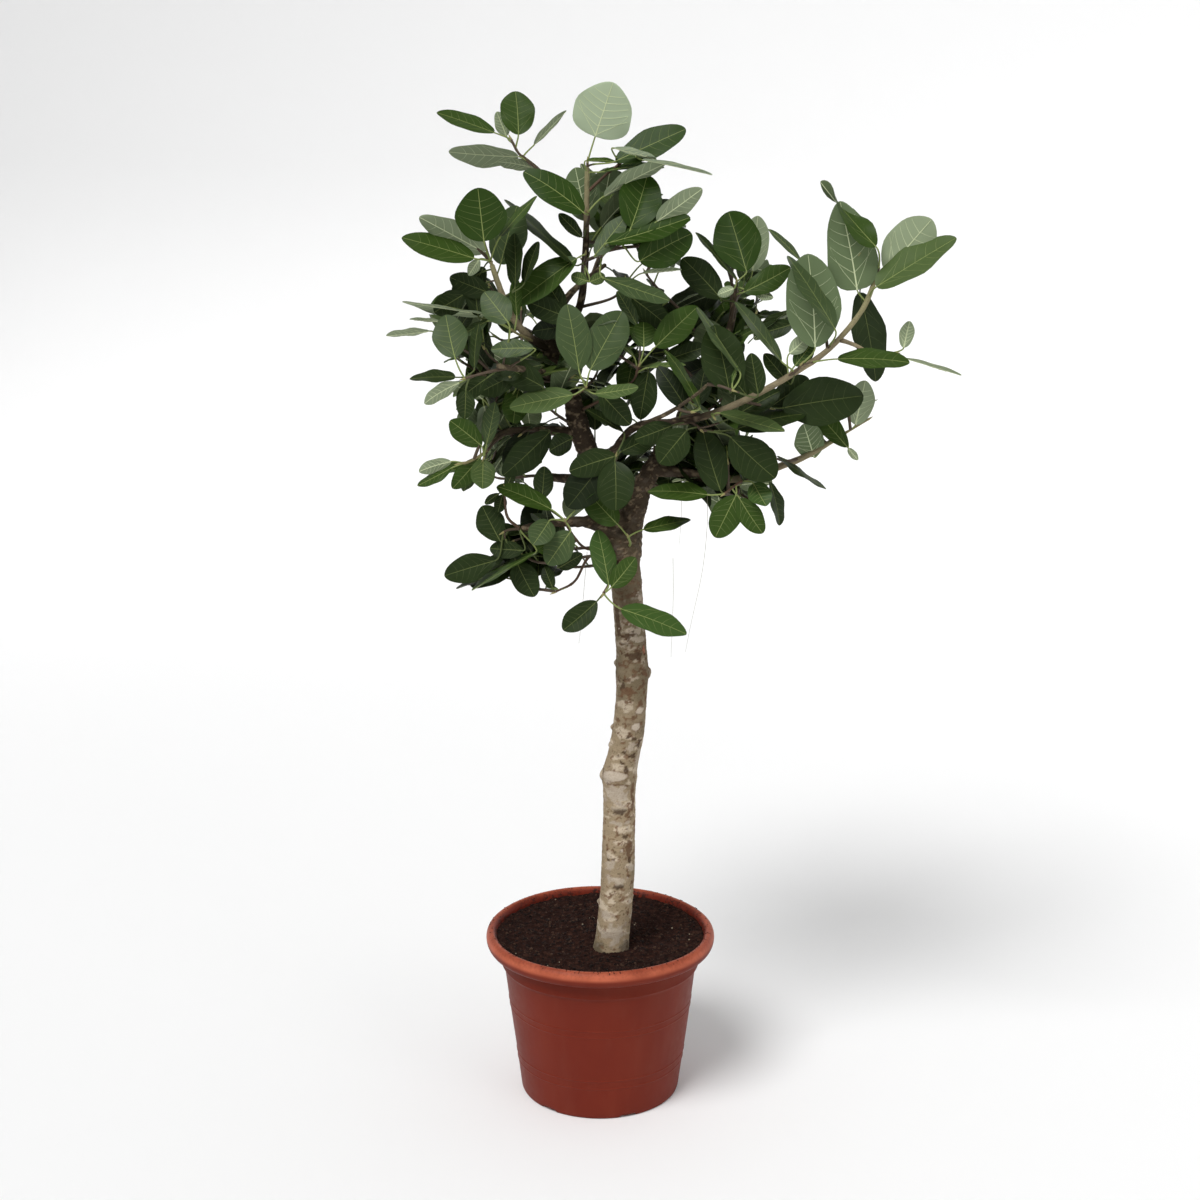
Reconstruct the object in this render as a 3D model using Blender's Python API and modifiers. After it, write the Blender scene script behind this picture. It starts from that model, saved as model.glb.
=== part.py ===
"""A banyan fig grown as a standard: one bare stem under an open crown of large oval leaves, in its
plastic pot. Each limb is a tapering solid, each cluster of leaves an uneven closed mass.
Metres, +Z up. The origin is the centre of the pot's flat underside, and -Y is the plant's front."""

import math
from collections import namedtuple

import bmesh
import bpy
from mathutils import Quaternion, Vector, noise

GAP = 0.0003  # clearance between touching pieces

# Pot: a turned shell with a thick rolled rim
RIM_RADIUS = 0.225
BEAD_HALF_WIDTH = 0.0105
BEAD_HALF_HEIGHT = 0.0157
BEAD_HEIGHT = 0.3148  # of its middle
COLLAR_RADIUS = 0.1945
COLLAR_TOP = 0.3005
COLLAR_FOOT = 0.265
WALL_TOP_RADIUS = 0.190
BASE_RADIUS = 0.1565
FOOT_ROUNDING = 0.005
WALL = 0.004
FLOOR = 0.008
POT_STEPS = 28
NOTCHES = 6
NOTCH_FIRST_ANGLE = math.radians(-69.5)
NOTCH_SIZE = (0.020, 0.036, 0.005)

# Soil: a turned plug that fills the pot up to the bead's inner edge
SOIL_TOP = 0.3155

# Stem
FLARE = 0.003
FLARE_HEIGHT = 0.03
TRUNK_BEVEL = 3  # ten-sided
BOUGH_BEVEL = 2  # eight-sided
TWIG_BEVEL = 1  # six-sided, for limbs that start thinner than TWIG_RADIUS
TWIG_RADIUS = 0.0130
SPAN_STEPS = 2  # stretches that each span between two path points is divided into

# Foliage masses
MASS_SEGMENTS = 11
MASS_RINGS = 7
LUMP_HEIGHT = 0.30
LUMP_SCALE = 1.3
REACH_SHARPNESS = 9  # how fast the pull towards a tip fades round its direction
TURN_SHARPNESS = 5
SEED_SPREAD = 40.0  # gives each mass lumps of its own
MASS_GAP = 0.0006

Limb = namedtuple("Limb", "name path base tip swellings", defaults=[()])
Mass = namedtuple("Mass", "name centre half reach", defaults=[()])

TRUNK = Limb(
    "trunk",
    [
        (0.021, -0.066, 0.300),
        (0.033, -0.061, 0.440),
        (0.037, -0.057, 0.580),
        (0.037, -0.053, 0.660),
        (0.045, -0.051, 0.702),
        (0.055, -0.048, 0.760),
        (0.061, -0.042, 0.860),
        (0.056, -0.037, 0.950),
        (0.048, -0.028, 1.055),
        (0.047, -0.020, 1.125),
    ],
    0.033,
    0.028,
    [(0.660, 0.0035), (0.862, 0.002), (1.100, 0.003)],
)

# Each limb starts on the axis of the one that it grows from
BOUGHS = [
    Limb(
        "left_main_bough",
        [
            (0.041, -0.020, 1.101),
            (0.013, -0.012, 1.185),
            (-0.032, 0.000, 1.300),
            (-0.054, 0.008, 1.375),
            (-0.095, 0.016, 1.470),
            (-0.098, 0.020, 1.505),
        ],
        0.0235,
        0.0140,
    ),
    Limb(
        "right_main_bough",
        [
            (0.052, -0.020, 1.111),
            (0.067, -0.020, 1.177),
            (0.098, -0.005, 1.244),
            (0.157, 0.035, 1.333),
            (0.187, 0.050, 1.388),
            (0.196, 0.050, 1.425),
        ],
        0.0225,
        0.0110,
    ),
    Limb(
        "right_arm",
        [
            (-0.010, -0.008, 1.246),
            (0.023, -0.045, 1.279),
            (0.068, -0.070, 1.330),
            (0.161, -0.100, 1.344),
            (0.256, -0.120, 1.381),
            (0.354, -0.140, 1.439),
            (0.408, -0.140, 1.479),
            (0.458, -0.140, 1.540),
            (0.484, -0.132, 1.600),
        ],
        0.0105,
        0.0045,
    ),
    Limb(
        "arm_outer_shoot",
        [(0.420, -0.140, 1.491), (0.450, -0.136, 1.480), (0.475, -0.132, 1.466)],
        0.0040,
        0.0030,
    ),
    Limb(
        "low_left_bough",
        [
            (0.035, -0.022, 1.122),
            (-0.017, -0.030, 1.147),
            (-0.084, -0.035, 1.144),
            (-0.149, -0.040, 1.136),
        ],
        0.0125,
        0.0070,
    ),
    Limb(
        "mid_left_bough",
        [(-0.036, 0.001, 1.309), (-0.103, -0.005, 1.315), (-0.173, -0.010, 1.312), (-0.205, -0.015, 1.290)],
        0.0095,
        0.0055,
    ),
    Limb(
        "left_bough",
        [(-0.067, 0.010, 1.400), (-0.129, -0.020, 1.409), (-0.183, -0.040, 1.405), (-0.225, -0.050, 1.425)],
        0.0080,
        0.0040,
    ),
    Limb(
        "upper_left_bough",
        [
            (-0.093, 0.016, 1.463),
            (-0.133, -0.040, 1.492),
            (-0.162, -0.070, 1.535),
            (-0.181, -0.090, 1.587),
            (-0.192, -0.098, 1.622),
        ],
        0.0085,
        0.0045,
    ),
    Limb(
        "leader",
        [
            (-0.095, 0.016, 1.470),
            (-0.056, 0.024, 1.510),
            (-0.035, 0.018, 1.550),
            (-0.027, 0.010, 1.630),
            (-0.022, 0.000, 1.731),
            (-0.008, 0.000, 1.812),
        ],
        0.0085,
        0.0042,
    ),
    Limb(
        "top_left_shoot",
        [(-0.024, 0.003, 1.705), (-0.073, 0.020, 1.749), (-0.115, 0.030, 1.788), (-0.146, 0.038, 1.812)],
        0.0040,
        0.0030,
    ),
    Limb(
        "low_right_bough",
        [
            (0.096, -0.006, 1.240),
            (0.147, -0.030, 1.240),
            (0.211, -0.045, 1.231),
            (0.266, -0.050, 1.233),
            (0.321, -0.050, 1.250),
            (0.379, -0.050, 1.273),
            (0.440, -0.042, 1.308),
        ],
        0.0115,
        0.0042,
    ),
    Limb(
        "upper_right_bough",
        [(0.168, 0.040, 1.352), (0.213, 0.030, 1.423), (0.239, 0.020, 1.497), (0.250, 0.004, 1.575)],
        0.0105,
        0.0050,
    ),
    Limb(
        "low_front_shoot",
        [(0.047, -0.028, 1.085), (0.034, -0.064, 1.064), (0.022, -0.092, 1.046)],
        0.0070,
        0.0040,
    ),
    Limb(
        "back_left_bough",
        [(-0.056, 0.008, 1.380), (-0.082, 0.090, 1.402), (-0.136, 0.165, 1.428), (-0.172, 0.210, 1.450)],
        0.0120,
        0.0070,
    ),
    Limb(
        "back_top_bough",
        [(-0.095, 0.018, 1.480), (-0.062, 0.085, 1.552), (-0.004, 0.160, 1.602), (0.030, 0.205, 1.630)],
        0.0110,
        0.0060,
    ),
    Limb(
        "back_right_bough",
        [(0.165, 0.040, 1.347), (0.198, 0.110, 1.388), (0.242, 0.180, 1.449), (0.265, 0.215, 1.485)],
        0.0115,
        0.0060,
    ),
    Limb(
        "back_low_right_bough",
        [(0.076, -0.016, 1.198), (0.095, 0.060, 1.196), (0.132, 0.130, 1.200), (0.160, 0.180, 1.204)],
        0.0125,
        0.0070,
    ),
    Limb(
        "back_low_left_bough",
        [(0.003, -0.009, 1.212), (-0.029, 0.060, 1.212), (-0.078, 0.120, 1.207), (-0.125, 0.170, 1.204)],
        0.0120,
        0.0070,
    ),
    Limb(
        "front_centre_shoot",
        [(0.075, -0.073, 1.332), (0.124, -0.130, 1.362), (0.168, -0.180, 1.398), (0.186, -0.205, 1.418)],
        0.0062,
        0.0042,
    ),
    Limb(
        "front_left_shoot",
        [(-0.071, 0.010, 1.406), (-0.118, -0.075, 1.430), (-0.159, -0.140, 1.441), (-0.180, -0.175, 1.448)],
        0.0080,
        0.0045,
    ),
]

# Each mass reaches out to the tips of its furthest leaves
MASSES = [
    Mass(
        "foliage_top",
        (0.039, 0.000, 1.819),
        (0.085, 0.078, 0.078),
        [(0.010, 0.000, 1.940), (0.156, -0.020, 1.851), (0.203, 0.030, 1.784), (-0.080, 0.030, 1.880)],
    ),
    Mass(
        "foliage_leader",
        (0.038, 0.020, 1.640),
        (0.118, 0.090, 0.078),
        [(0.182, 0.030, 1.731), (-0.126, -0.020, 1.762)],
    ),
    Mass(
        "foliage_top_left",
        (-0.185, 0.040, 1.833),
        (0.075, 0.062, 0.055),
        [(-0.297, 0.040, 1.892), (-0.272, 0.040, 1.800), (-0.146, 0.020, 1.922)],
    ),
    Mass(
        "foliage_upper_left",
        (-0.210, -0.100, 1.651),
        (0.086, 0.095, 0.076),
        [(-0.347, -0.120, 1.669), (-0.203, -0.100, 1.751), (-0.298, -0.100, 1.561), (-0.120, -0.090, 1.600)],
    ),
    Mass(
        "foliage_left",
        (-0.225, -0.040, 1.447),
        (0.090, 0.085, 0.090),
        [(-0.384, -0.060, 1.493), (-0.359, -0.050, 1.548), (-0.340, -0.050, 1.380)],
    ),
    Mass(
        "foliage_mid_left",
        (-0.205, -0.020, 1.272),
        (0.090, 0.085, 0.075),
        [(-0.344, -0.020, 1.236), (-0.272, -0.020, 1.335)],
    ),
    Mass(
        "foliage_lower_left",
        (-0.128, -0.045, 1.097),
        (0.098, 0.080, 0.068),
        [(-0.291, -0.050, 1.061), (-0.235, -0.060, 1.029), (-0.120, -0.040, 1.004)],
    ),
    Mass(
        "foliage_low_front",
        (0.025, -0.116, 1.050),
        (0.060, 0.045, 0.060),
        [(-0.059, -0.130, 0.954), (0.153, -0.130, 0.965), (-0.002, -0.110, 1.140)],
    ),
    Mass(
        "foliage_centre_left",
        (-0.015, -0.005, 1.450),
        (0.090, 0.080, 0.085),
        [(0.020, -0.030, 1.550), (-0.150, -0.050, 1.367)],
    ),
    Mass(
        "foliage_heart",
        (0.020, 0.100, 1.260),
        (0.100, 0.060, 0.105),
        [(0.080, 0.110, 1.375)],
    ),
    Mass(
        "foliage_centre",
        (0.165, 0.020, 1.450),
        (0.110, 0.100, 0.105),
        [(0.100, -0.060, 1.545), (0.285, -0.030, 1.410)],
    ),
    Mass(
        "foliage_upper_right",
        (0.252, 0.000, 1.620),
        (0.088, 0.085, 0.066),
        [(0.235, 0.000, 1.710), (0.338, 0.000, 1.625), (0.175, 0.000, 1.674)],
    ),
    Mass(
        "foliage_arm_inner",
        (0.348, -0.110, 1.515),
        (0.075, 0.068, 0.095),
        [(0.325, -0.090, 1.640), (0.374, -0.110, 1.645)],
    ),
    Mass(
        "foliage_arm_tip",
        (0.489, -0.140, 1.636),
        (0.080, 0.068, 0.082),
        [(0.372, -0.140, 1.757), (0.621, -0.140, 1.667), (0.562, -0.140, 1.703)],
    ),
    Mass(
        "foliage_arm_outer",
        (0.492, -0.130, 1.450),
        (0.045, 0.042, 0.048),
        [(0.639, -0.130, 1.428), (0.538, -0.130, 1.522), (0.488, -0.130, 1.400)],
    ),
    Mass(
        "foliage_low_right",
        (0.215, -0.025, 1.248),
        (0.125, 0.100, 0.095),
        [(0.212, -0.030, 1.118), (0.332, -0.050, 1.146)],
    ),
    Mass(
        "foliage_low_right_tip",
        (0.405, -0.045, 1.335),
        (0.095, 0.062, 0.058),
        [(0.409, -0.060, 1.215), (0.500, -0.020, 1.400)],
    ),
    Mass(
        "foliage_back_left",
        (-0.195, 0.255, 1.470),
        (0.095, 0.090, 0.080),
        [(-0.300, 0.300, 1.500), (-0.170, 0.360, 1.440)],
    ),
    Mass(
        "foliage_back_top",
        (0.050, 0.250, 1.660),
        (0.095, 0.090, 0.085),
        [(0.010, 0.270, 1.775), (0.090, 0.350, 1.680)],
    ),
    Mass(
        "foliage_back_right",
        (0.290, 0.260, 1.520),
        (0.095, 0.090, 0.085),
        [(0.400, 0.300, 1.560), (0.270, 0.360, 1.490)],
    ),
    Mass(
        "foliage_back_low_right",
        (0.190, 0.225, 1.215),
        (0.095, 0.088, 0.080),
        [(0.290, 0.250, 1.180), (0.180, 0.330, 1.190)],
    ),
    Mass(
        "foliage_back_low_left",
        (-0.155, 0.215, 1.210),
        (0.090, 0.088, 0.078),
        [(-0.260, 0.240, 1.190), (-0.140, 0.320, 1.180)],
    ),
    Mass(
        "foliage_front_centre",
        (0.205, -0.245, 1.435),
        (0.078, 0.070, 0.066),
        [(0.215, -0.335, 1.400), (0.130, -0.270, 1.480)],
    ),
    Mass(
        "foliage_front_left",
        (-0.200, -0.220, 1.450),
        (0.072, 0.070, 0.062),
        [(-0.210, -0.310, 1.420), (-0.290, -0.230, 1.480)],
    ),
]

TERRACOTTA = (0.27, 0.058, 0.030, 1.0)
PEAT = (0.020, 0.011, 0.008, 1.0)
BARK = (0.42, 0.34, 0.24, 1.0)
TWIG = (0.20, 0.22, 0.08, 1.0)
LEAF = (0.035, 0.085, 0.020, 1.0)


def new_collection(name):
    made = bpy.data.collections.new(name)
    bpy.context.scene.collection.children.link(made)
    return made


def material(name, colour, roughness):
    made = bpy.data.materials.new(name)
    made.use_nodes = True
    shader = made.node_tree.nodes["Principled BSDF"]
    shader.inputs["Base Color"].default_value = colour
    shader.inputs["Roughness"].default_value = roughness
    shader.inputs["Metallic"].default_value = 0.0
    made.diffuse_color = colour
    return made


def add_object(name, mesh, collection, colour, roughness):
    obj = bpy.data.objects.new(name, mesh)
    collection.objects.link(obj)
    mesh.materials.clear()
    mesh.materials.append(material(name + "_finish", colour, roughness))
    mesh.shade_smooth()
    mesh.set_sharp_from_angle(angle=math.radians(40))
    return obj


def add_cutter(name, mesh, cutters):
    obj = bpy.data.objects.new(name, mesh)
    cutters.objects.link(obj)
    obj.hide_render = True
    obj.display_type = "WIRE"
    return obj


def cut(obj, cutter):
    modifier = obj.modifiers.new("clear_of_" + cutter.name, "BOOLEAN")
    modifier.operation = "DIFFERENCE"
    modifier.solver = "EXACT"
    modifier.object = cutter


def turned(name, profile, steps, collection, colour, roughness):
    """A solid of revolution from (radius, height) points that run down the outer side from the axis."""
    mesh = bpy.data.meshes.new(name)
    points = [(radius, 0.0, height) for radius, height in profile]
    mesh.from_pydata(points, [(i, i + 1) for i in range(len(points) - 1)], [])
    obj = add_object(name, mesh, collection, colour, roughness)
    screw = obj.modifiers.new("turn", "SCREW")
    screw.steps = steps
    screw.render_steps = steps
    screw.use_merge_vertices = True
    screw.merge_threshold = 0.00001
    screw.use_smooth_shade = True
    return obj


def arc(centre, radii, start, end, count):
    """Points from start to end degrees round an upright ellipse in the (radius, height) plane."""
    angles = [math.radians(start + (end - start) * i / (count - 1)) for i in range(count)]
    return [(centre[0] + radii[0] * math.cos(a), centre[1] + radii[1] * math.sin(a)) for a in angles]


def cavity(margin):
    """The pot's inner outline from the floor up to the bead's inner edge, drawn in by a margin."""
    return [
        (BASE_RADIUS - WALL - margin, FLOOR + margin),
        (WALL_TOP_RADIUS - WALL - margin, COLLAR_FOOT),
        (COLLAR_RADIUS - WALL - margin, COLLAR_TOP),
        (RIM_RADIUS - 2 * BEAD_HALF_WIDTH - margin, BEAD_HEIGHT),
    ]


def build_pot(collection, cutters):
    bead = (RIM_RADIUS - BEAD_HALF_WIDTH, BEAD_HEIGHT)
    profile = [(0.0, FLOOR), *cavity(0.0)]
    profile += arc(bead, (BEAD_HALF_WIDTH, BEAD_HALF_HEIGHT), 180, -120, 11)[1:]
    profile += [(COLLAR_RADIUS, COLLAR_TOP), (COLLAR_RADIUS, COLLAR_FOOT), (WALL_TOP_RADIUS, COLLAR_FOOT)]
    foot_centre = (BASE_RADIUS - FOOT_ROUNDING, FOOT_ROUNDING)
    profile += arc(foot_centre, (FOOT_ROUNDING, FOOT_ROUNDING), 0, -90, 3) + [(0.0, 0.0)]
    pot = turned("pot", profile, POT_STEPS, collection, TERRACOTTA, 0.45)
    for index in range(NOTCHES):
        angle = NOTCH_FIRST_ANGLE + index * math.tau / NOTCHES
        shape = bmesh.new()
        bmesh.ops.create_cube(shape, size=1.0)
        bmesh.ops.scale(shape, vec=(NOTCH_SIZE[0], NOTCH_SIZE[1], 2 * NOTCH_SIZE[2]), verts=shape.verts)
        mesh = bpy.data.meshes.new("notch")
        shape.to_mesh(mesh)
        shape.free()
        notch = add_cutter(f"notch_{index}", mesh, cutters)
        notch.location = (BASE_RADIUS * math.cos(angle), BASE_RADIUS * math.sin(angle), 0.0)
        notch.rotation_euler = (0.0, 0.0, angle)
        cut(pot, notch)


def build_soil(collection):
    walls = cavity(GAP)
    profile = [(0.0, SOIL_TOP), (walls[-1][0], SOIL_TOP), *reversed(walls), (0.0, walls[0][1])]
    turned("soil", profile, POT_STEPS, collection, PEAT, 0.95)


def smooth_path(path):
    """A Catmull-Rom curve through the path's points."""
    points = [Vector(p) for p in path]
    ends = [2 * points[0] - points[1]] + points + [2 * points[-1] - points[-2]]
    made = []
    for before, start, end, after in zip(ends, ends[1:], ends[2:], ends[3:]):
        for step in range(SPAN_STEPS):
            t = step / SPAN_STEPS
            made.append(
                0.5
                * (
                    2 * start
                    + (end - before) * t
                    + (2 * before - 5 * start + 4 * end - after) * t * t
                    + (3 * start - before - 3 * end + after) * t**3
                )
            )
    return made + [points[-1]]


def split_quads(shape):
    """Splits each bent quad along the same diagonal in a piece and in the swollen copy that cuts round it."""
    bmesh.ops.triangulate(shape, faces=shape.faces, quad_method="FIXED")


def limb_mesh(limb, bevel, extra=0.0):
    """The limb's tapering tube as a closed mesh, swollen all round and at both ends by extra."""
    points = smooth_path(limb.path)
    lengths = [0.0]
    for start, end in zip(points, points[1:]):
        lengths.append(lengths[-1] + (end - start).length)
    radii = [limb.base + (limb.tip - limb.base) * length / lengths[-1] + extra for length in lengths]
    for height, swelling in limb.swellings:
        for i, point in enumerate(points):
            radii[i] += swelling * math.exp(-(((point.z - height) / 0.02) ** 2))
    points[0] = points[0] + extra * (points[0] - points[1]).normalized()
    points[-1] = points[-1] + extra * (points[-1] - points[-2]).normalized()
    curve = bpy.data.curves.new(limb.name, "CURVE")
    curve.dimensions = "3D"
    curve.bevel_depth = 1.0
    curve.bevel_resolution = bevel
    curve.use_fill_caps = True
    spline = curve.splines.new("POLY")
    spline.points.add(len(points) - 1)
    for spot, point, radius in zip(spline.points, points, radii):
        spot.co = (*point, 1.0)
        spot.radius = radius
    guide = bpy.data.objects.new(limb.name + "_guide", curve)
    bpy.context.scene.collection.objects.link(guide)
    bpy.context.view_layer.update()
    graph = bpy.context.evaluated_depsgraph_get()
    mesh = bpy.data.meshes.new_from_object(guide.evaluated_get(graph))
    bpy.data.objects.remove(guide)
    shape = bmesh.new()
    shape.from_mesh(mesh)
    bmesh.ops.remove_doubles(shape, verts=shape.verts, dist=0.00001)
    bmesh.ops.recalc_face_normals(shape, faces=shape.faces)
    split_quads(shape)
    shape.to_mesh(mesh)
    shape.free()
    return mesh


def draw_out(shape, arm, taken):
    """Turns the point nearest to the arm's direction onto it, with those around it, and pulls them out."""
    aim = arm.normalized()
    free = [vert for vert in shape.verts if vert not in taken]
    nearest = max(free, key=lambda vert: vert.co.normalized().dot(aim))
    start = nearest.co.normalized()
    turn = start.rotation_difference(aim)
    for vert in shape.verts:
        closeness = min(1.0, max(0.0, vert.co.normalized().dot(start)))
        vert.co.rotate(Quaternion().slerp(turn, closeness**TURN_SHARPNESS))
        pull = closeness**REACH_SHARPNESS * max(0.0, arm.length - vert.co.length)
        vert.co += vert.co.normalized() * pull
    taken.append(nearest)


def mass_mesh(mass, extra=0.0):
    """A lumpy rounded solid that is drawn out towards each tip it reaches, swollen outwards by extra."""
    shape = bmesh.new()
    bmesh.ops.create_uvsphere(shape, u_segments=MASS_SEGMENTS, v_segments=MASS_RINGS, radius=1.0)
    centre = Vector(mass.centre)
    for vert in shape.verts:
        lump = 1.0 + LUMP_HEIGHT * noise.noise(vert.co * LUMP_SCALE + centre * SEED_SPREAD)
        vert.co = Vector([size * value * lump for size, value in zip(mass.half, vert.co)])
    taken = []
    for tip in mass.reach:
        draw_out(shape, Vector(tip) - centre, taken)
    shape.normal_update()
    for vert in shape.verts:
        vert.co = centre + vert.co + vert.normal * extra
    split_quads(shape)
    mesh = bpy.data.meshes.new(mass.name)
    shape.to_mesh(mesh)
    shape.free()
    return mesh


def box_of(mesh):
    """The lowest and highest corners of a mesh."""
    corners = list(zip(*[vert.co for vert in mesh.vertices]))
    return [min(values) for values in corners], [max(values) for values in corners]


def boxes_meet(first, second):
    (low_a, high_a), (low_b, high_b) = box_of(first), box_of(second)
    return all(low_a[i] < high_b[i] and low_b[i] < high_a[i] for i in range(3))


def add_clear_of(obj, earlier):
    """Cuts obj clear of each earlier piece that it may touch."""
    for cutter in earlier:
        if boxes_meet(obj.data, cutter.data):
            cut(obj, cutter)


def build_trunk(collection, cutters):
    trunk = add_object("trunk", limb_mesh(TRUNK, TRUNK_BEVEL), collection, BARK, 0.85)
    for vert in trunk.data.vertices:
        rise = max(0.0, vert.co.z - SOIL_TOP)
        spread = FLARE * math.exp(-rise / FLARE_HEIGHT)
        outward = Vector((vert.co.x - TRUNK.path[0][0], vert.co.y - TRUNK.path[0][1], 0.0))
        if rise < 2 * FLARE_HEIGHT and outward.length > 0.5 * TRUNK.base:
            vert.co += outward.normalized() * spread
    shape = bmesh.new()
    bmesh.ops.create_cube(shape, size=0.2)
    mesh = bpy.data.meshes.new("ground_cut")
    shape.to_mesh(mesh)
    shape.free()
    ground = add_cutter("ground_cut", mesh, cutters)
    ground.location = (TRUNK.path[0][0], TRUNK.path[0][1], SOIL_TOP + GAP - 0.1)
    cut(trunk, ground)
    return add_cutter("around_trunk", limb_mesh(TRUNK, TRUNK_BEVEL, GAP), cutters)


def build_boughs(collection, cutters, around):
    for limb in BOUGHS:
        bevel = TWIG_BEVEL if limb.base < TWIG_RADIUS else BOUGH_BEVEL
        bough = add_object(limb.name, limb_mesh(limb, bevel), collection, BARK, 0.8)
        add_clear_of(bough, around)
        around.append(add_cutter("around_" + limb.name, limb_mesh(limb, bevel, GAP), cutters))


def build_masses(collection, cutters, around):
    for mass in MASSES:
        foliage = add_object(mass.name, mass_mesh(mass), collection, LEAF, 0.5)
        add_clear_of(foliage, around)
        around.append(add_cutter("around_" + mass.name, mass_mesh(mass, MASS_GAP), cutters))


def main():
    for obj in list(bpy.data.objects):
        bpy.data.objects.remove(obj)
    plant = new_collection("banyan_fig_standard")
    cutters = new_collection("cutters")
    build_pot(plant, cutters)
    build_soil(plant)
    around = [build_trunk(plant, cutters)]
    build_boughs(plant, cutters, around)
    build_masses(plant, cutters, around)


main()
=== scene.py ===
"""The looks of a banyan fig grown as a standard: pot, peat, bark, twigs, leaves and hanging roots.
Metres, +Z up, in the frame's own axes. The plant's front faces -Y, towards the camera."""

import itertools
import math
from collections import namedtuple

import bpy
import numpy as np
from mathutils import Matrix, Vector, noise
from mathutils.bvhtree import BVHTree


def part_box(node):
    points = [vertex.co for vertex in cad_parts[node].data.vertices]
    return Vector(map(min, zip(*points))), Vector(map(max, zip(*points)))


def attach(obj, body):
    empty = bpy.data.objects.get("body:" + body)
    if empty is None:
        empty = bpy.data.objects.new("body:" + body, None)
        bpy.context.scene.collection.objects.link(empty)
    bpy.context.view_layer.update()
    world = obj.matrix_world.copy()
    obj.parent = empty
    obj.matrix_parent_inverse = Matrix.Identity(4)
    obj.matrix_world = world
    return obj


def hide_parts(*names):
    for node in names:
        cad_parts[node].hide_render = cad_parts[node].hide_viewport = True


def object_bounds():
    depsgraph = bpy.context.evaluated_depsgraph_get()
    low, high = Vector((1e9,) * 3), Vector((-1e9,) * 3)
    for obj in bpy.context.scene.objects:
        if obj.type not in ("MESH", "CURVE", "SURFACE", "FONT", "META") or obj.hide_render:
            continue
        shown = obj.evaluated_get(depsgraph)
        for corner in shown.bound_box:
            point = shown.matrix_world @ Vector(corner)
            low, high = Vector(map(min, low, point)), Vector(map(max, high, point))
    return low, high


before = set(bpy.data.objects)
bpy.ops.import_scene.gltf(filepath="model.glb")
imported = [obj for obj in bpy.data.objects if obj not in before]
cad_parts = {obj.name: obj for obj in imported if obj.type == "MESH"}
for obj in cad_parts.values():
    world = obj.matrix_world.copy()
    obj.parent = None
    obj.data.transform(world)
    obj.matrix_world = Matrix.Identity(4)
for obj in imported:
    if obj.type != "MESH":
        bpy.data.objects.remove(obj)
CAD_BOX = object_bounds()

# Camera, at the photograph's viewing angle
CAMERA_PLACE = Vector((0.0, -3.25, 1.70))
CAMERA_DIP = math.radians(12.3)
CAMERA_LENS = 52.62  # mm, on the sensor below
SENSOR = 36.0

# Pot: a turned shell with a thick rolled rim
RIM_RADIUS = 0.225
BEAD_HALF_WIDTH = 0.0105
BEAD_HALF_HEIGHT = 0.0157
BEAD_HEIGHT = 0.3148  # of its middle
COLLAR_RADIUS = 0.1945
COLLAR_TOP = 0.3005
COLLAR_FOOT = 0.265
WALL_TOP_RADIUS = 0.190
BASE_RADIUS = 0.1565
WALL = 0.004
FLOOR = 0.008
FOOT_RING = 0.014
FOOT_RECESS = 0.004
POT_STEPS = 240
BEAD_STEPS = 28
POT_LINES = (0.1925, 0.1790, 0.0830, 0.0660)  # heights of the fine raised rings
LINE_HEIGHT = 0.0009
LINE_WIDTH = 0.0013
NOTCHES = 6
NOTCH_FIRST_ANGLE = math.radians(-69.5)
NOTCH_WIDTH = 0.036
NOTCH_HEIGHT = 0.005
OVAL, WAVY = 0.0007, 0.0004  # how far the wall strays from round

# Soil
SOIL_TOP = 0.3155
SOIL_RADIUS = 0.2052
SOIL_RINGS = 110
SOIL_STEPS = 300
SOIL_ROUGH = 0.0035
SOIL_SINK = 0.003
MOUND_HEIGHT = 0.005  # round the stem
MOUND_RADIUS = 0.06
BANK_HEIGHT = 0.004  # against the rim
BANK = (0.175, 0.203)  # the radii between which it rises
CRUMBS = 3600
RIM_CRUMBS = 260
RIM_STREAKS = 100
RIM_STREAK_LEAN = (math.radians(52), math.radians(100))
PALE_CRUMBS = 14
SMALLEST_CRUMB = 0.0009
CRUMB_SPREAD = 0.0032
PALE_CRUMB_SIZE = (0.0014, 0.0028)
RIM_CRUMB_SIZE = (0.0005, 0.0015)
STREAK_CRUMB_SIZE = (0.0005, 0.0012)
STREAK_STEP = math.radians(3.5)
CRUMB_HEIGHT = 0.7  # of its width
CRUMB_TINTS = [(0.010, 0.005, 0.004), (0.026, 0.013, 0.009), (0.055, 0.030, 0.019), (0.30, 0.25, 0.18)]

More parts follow.
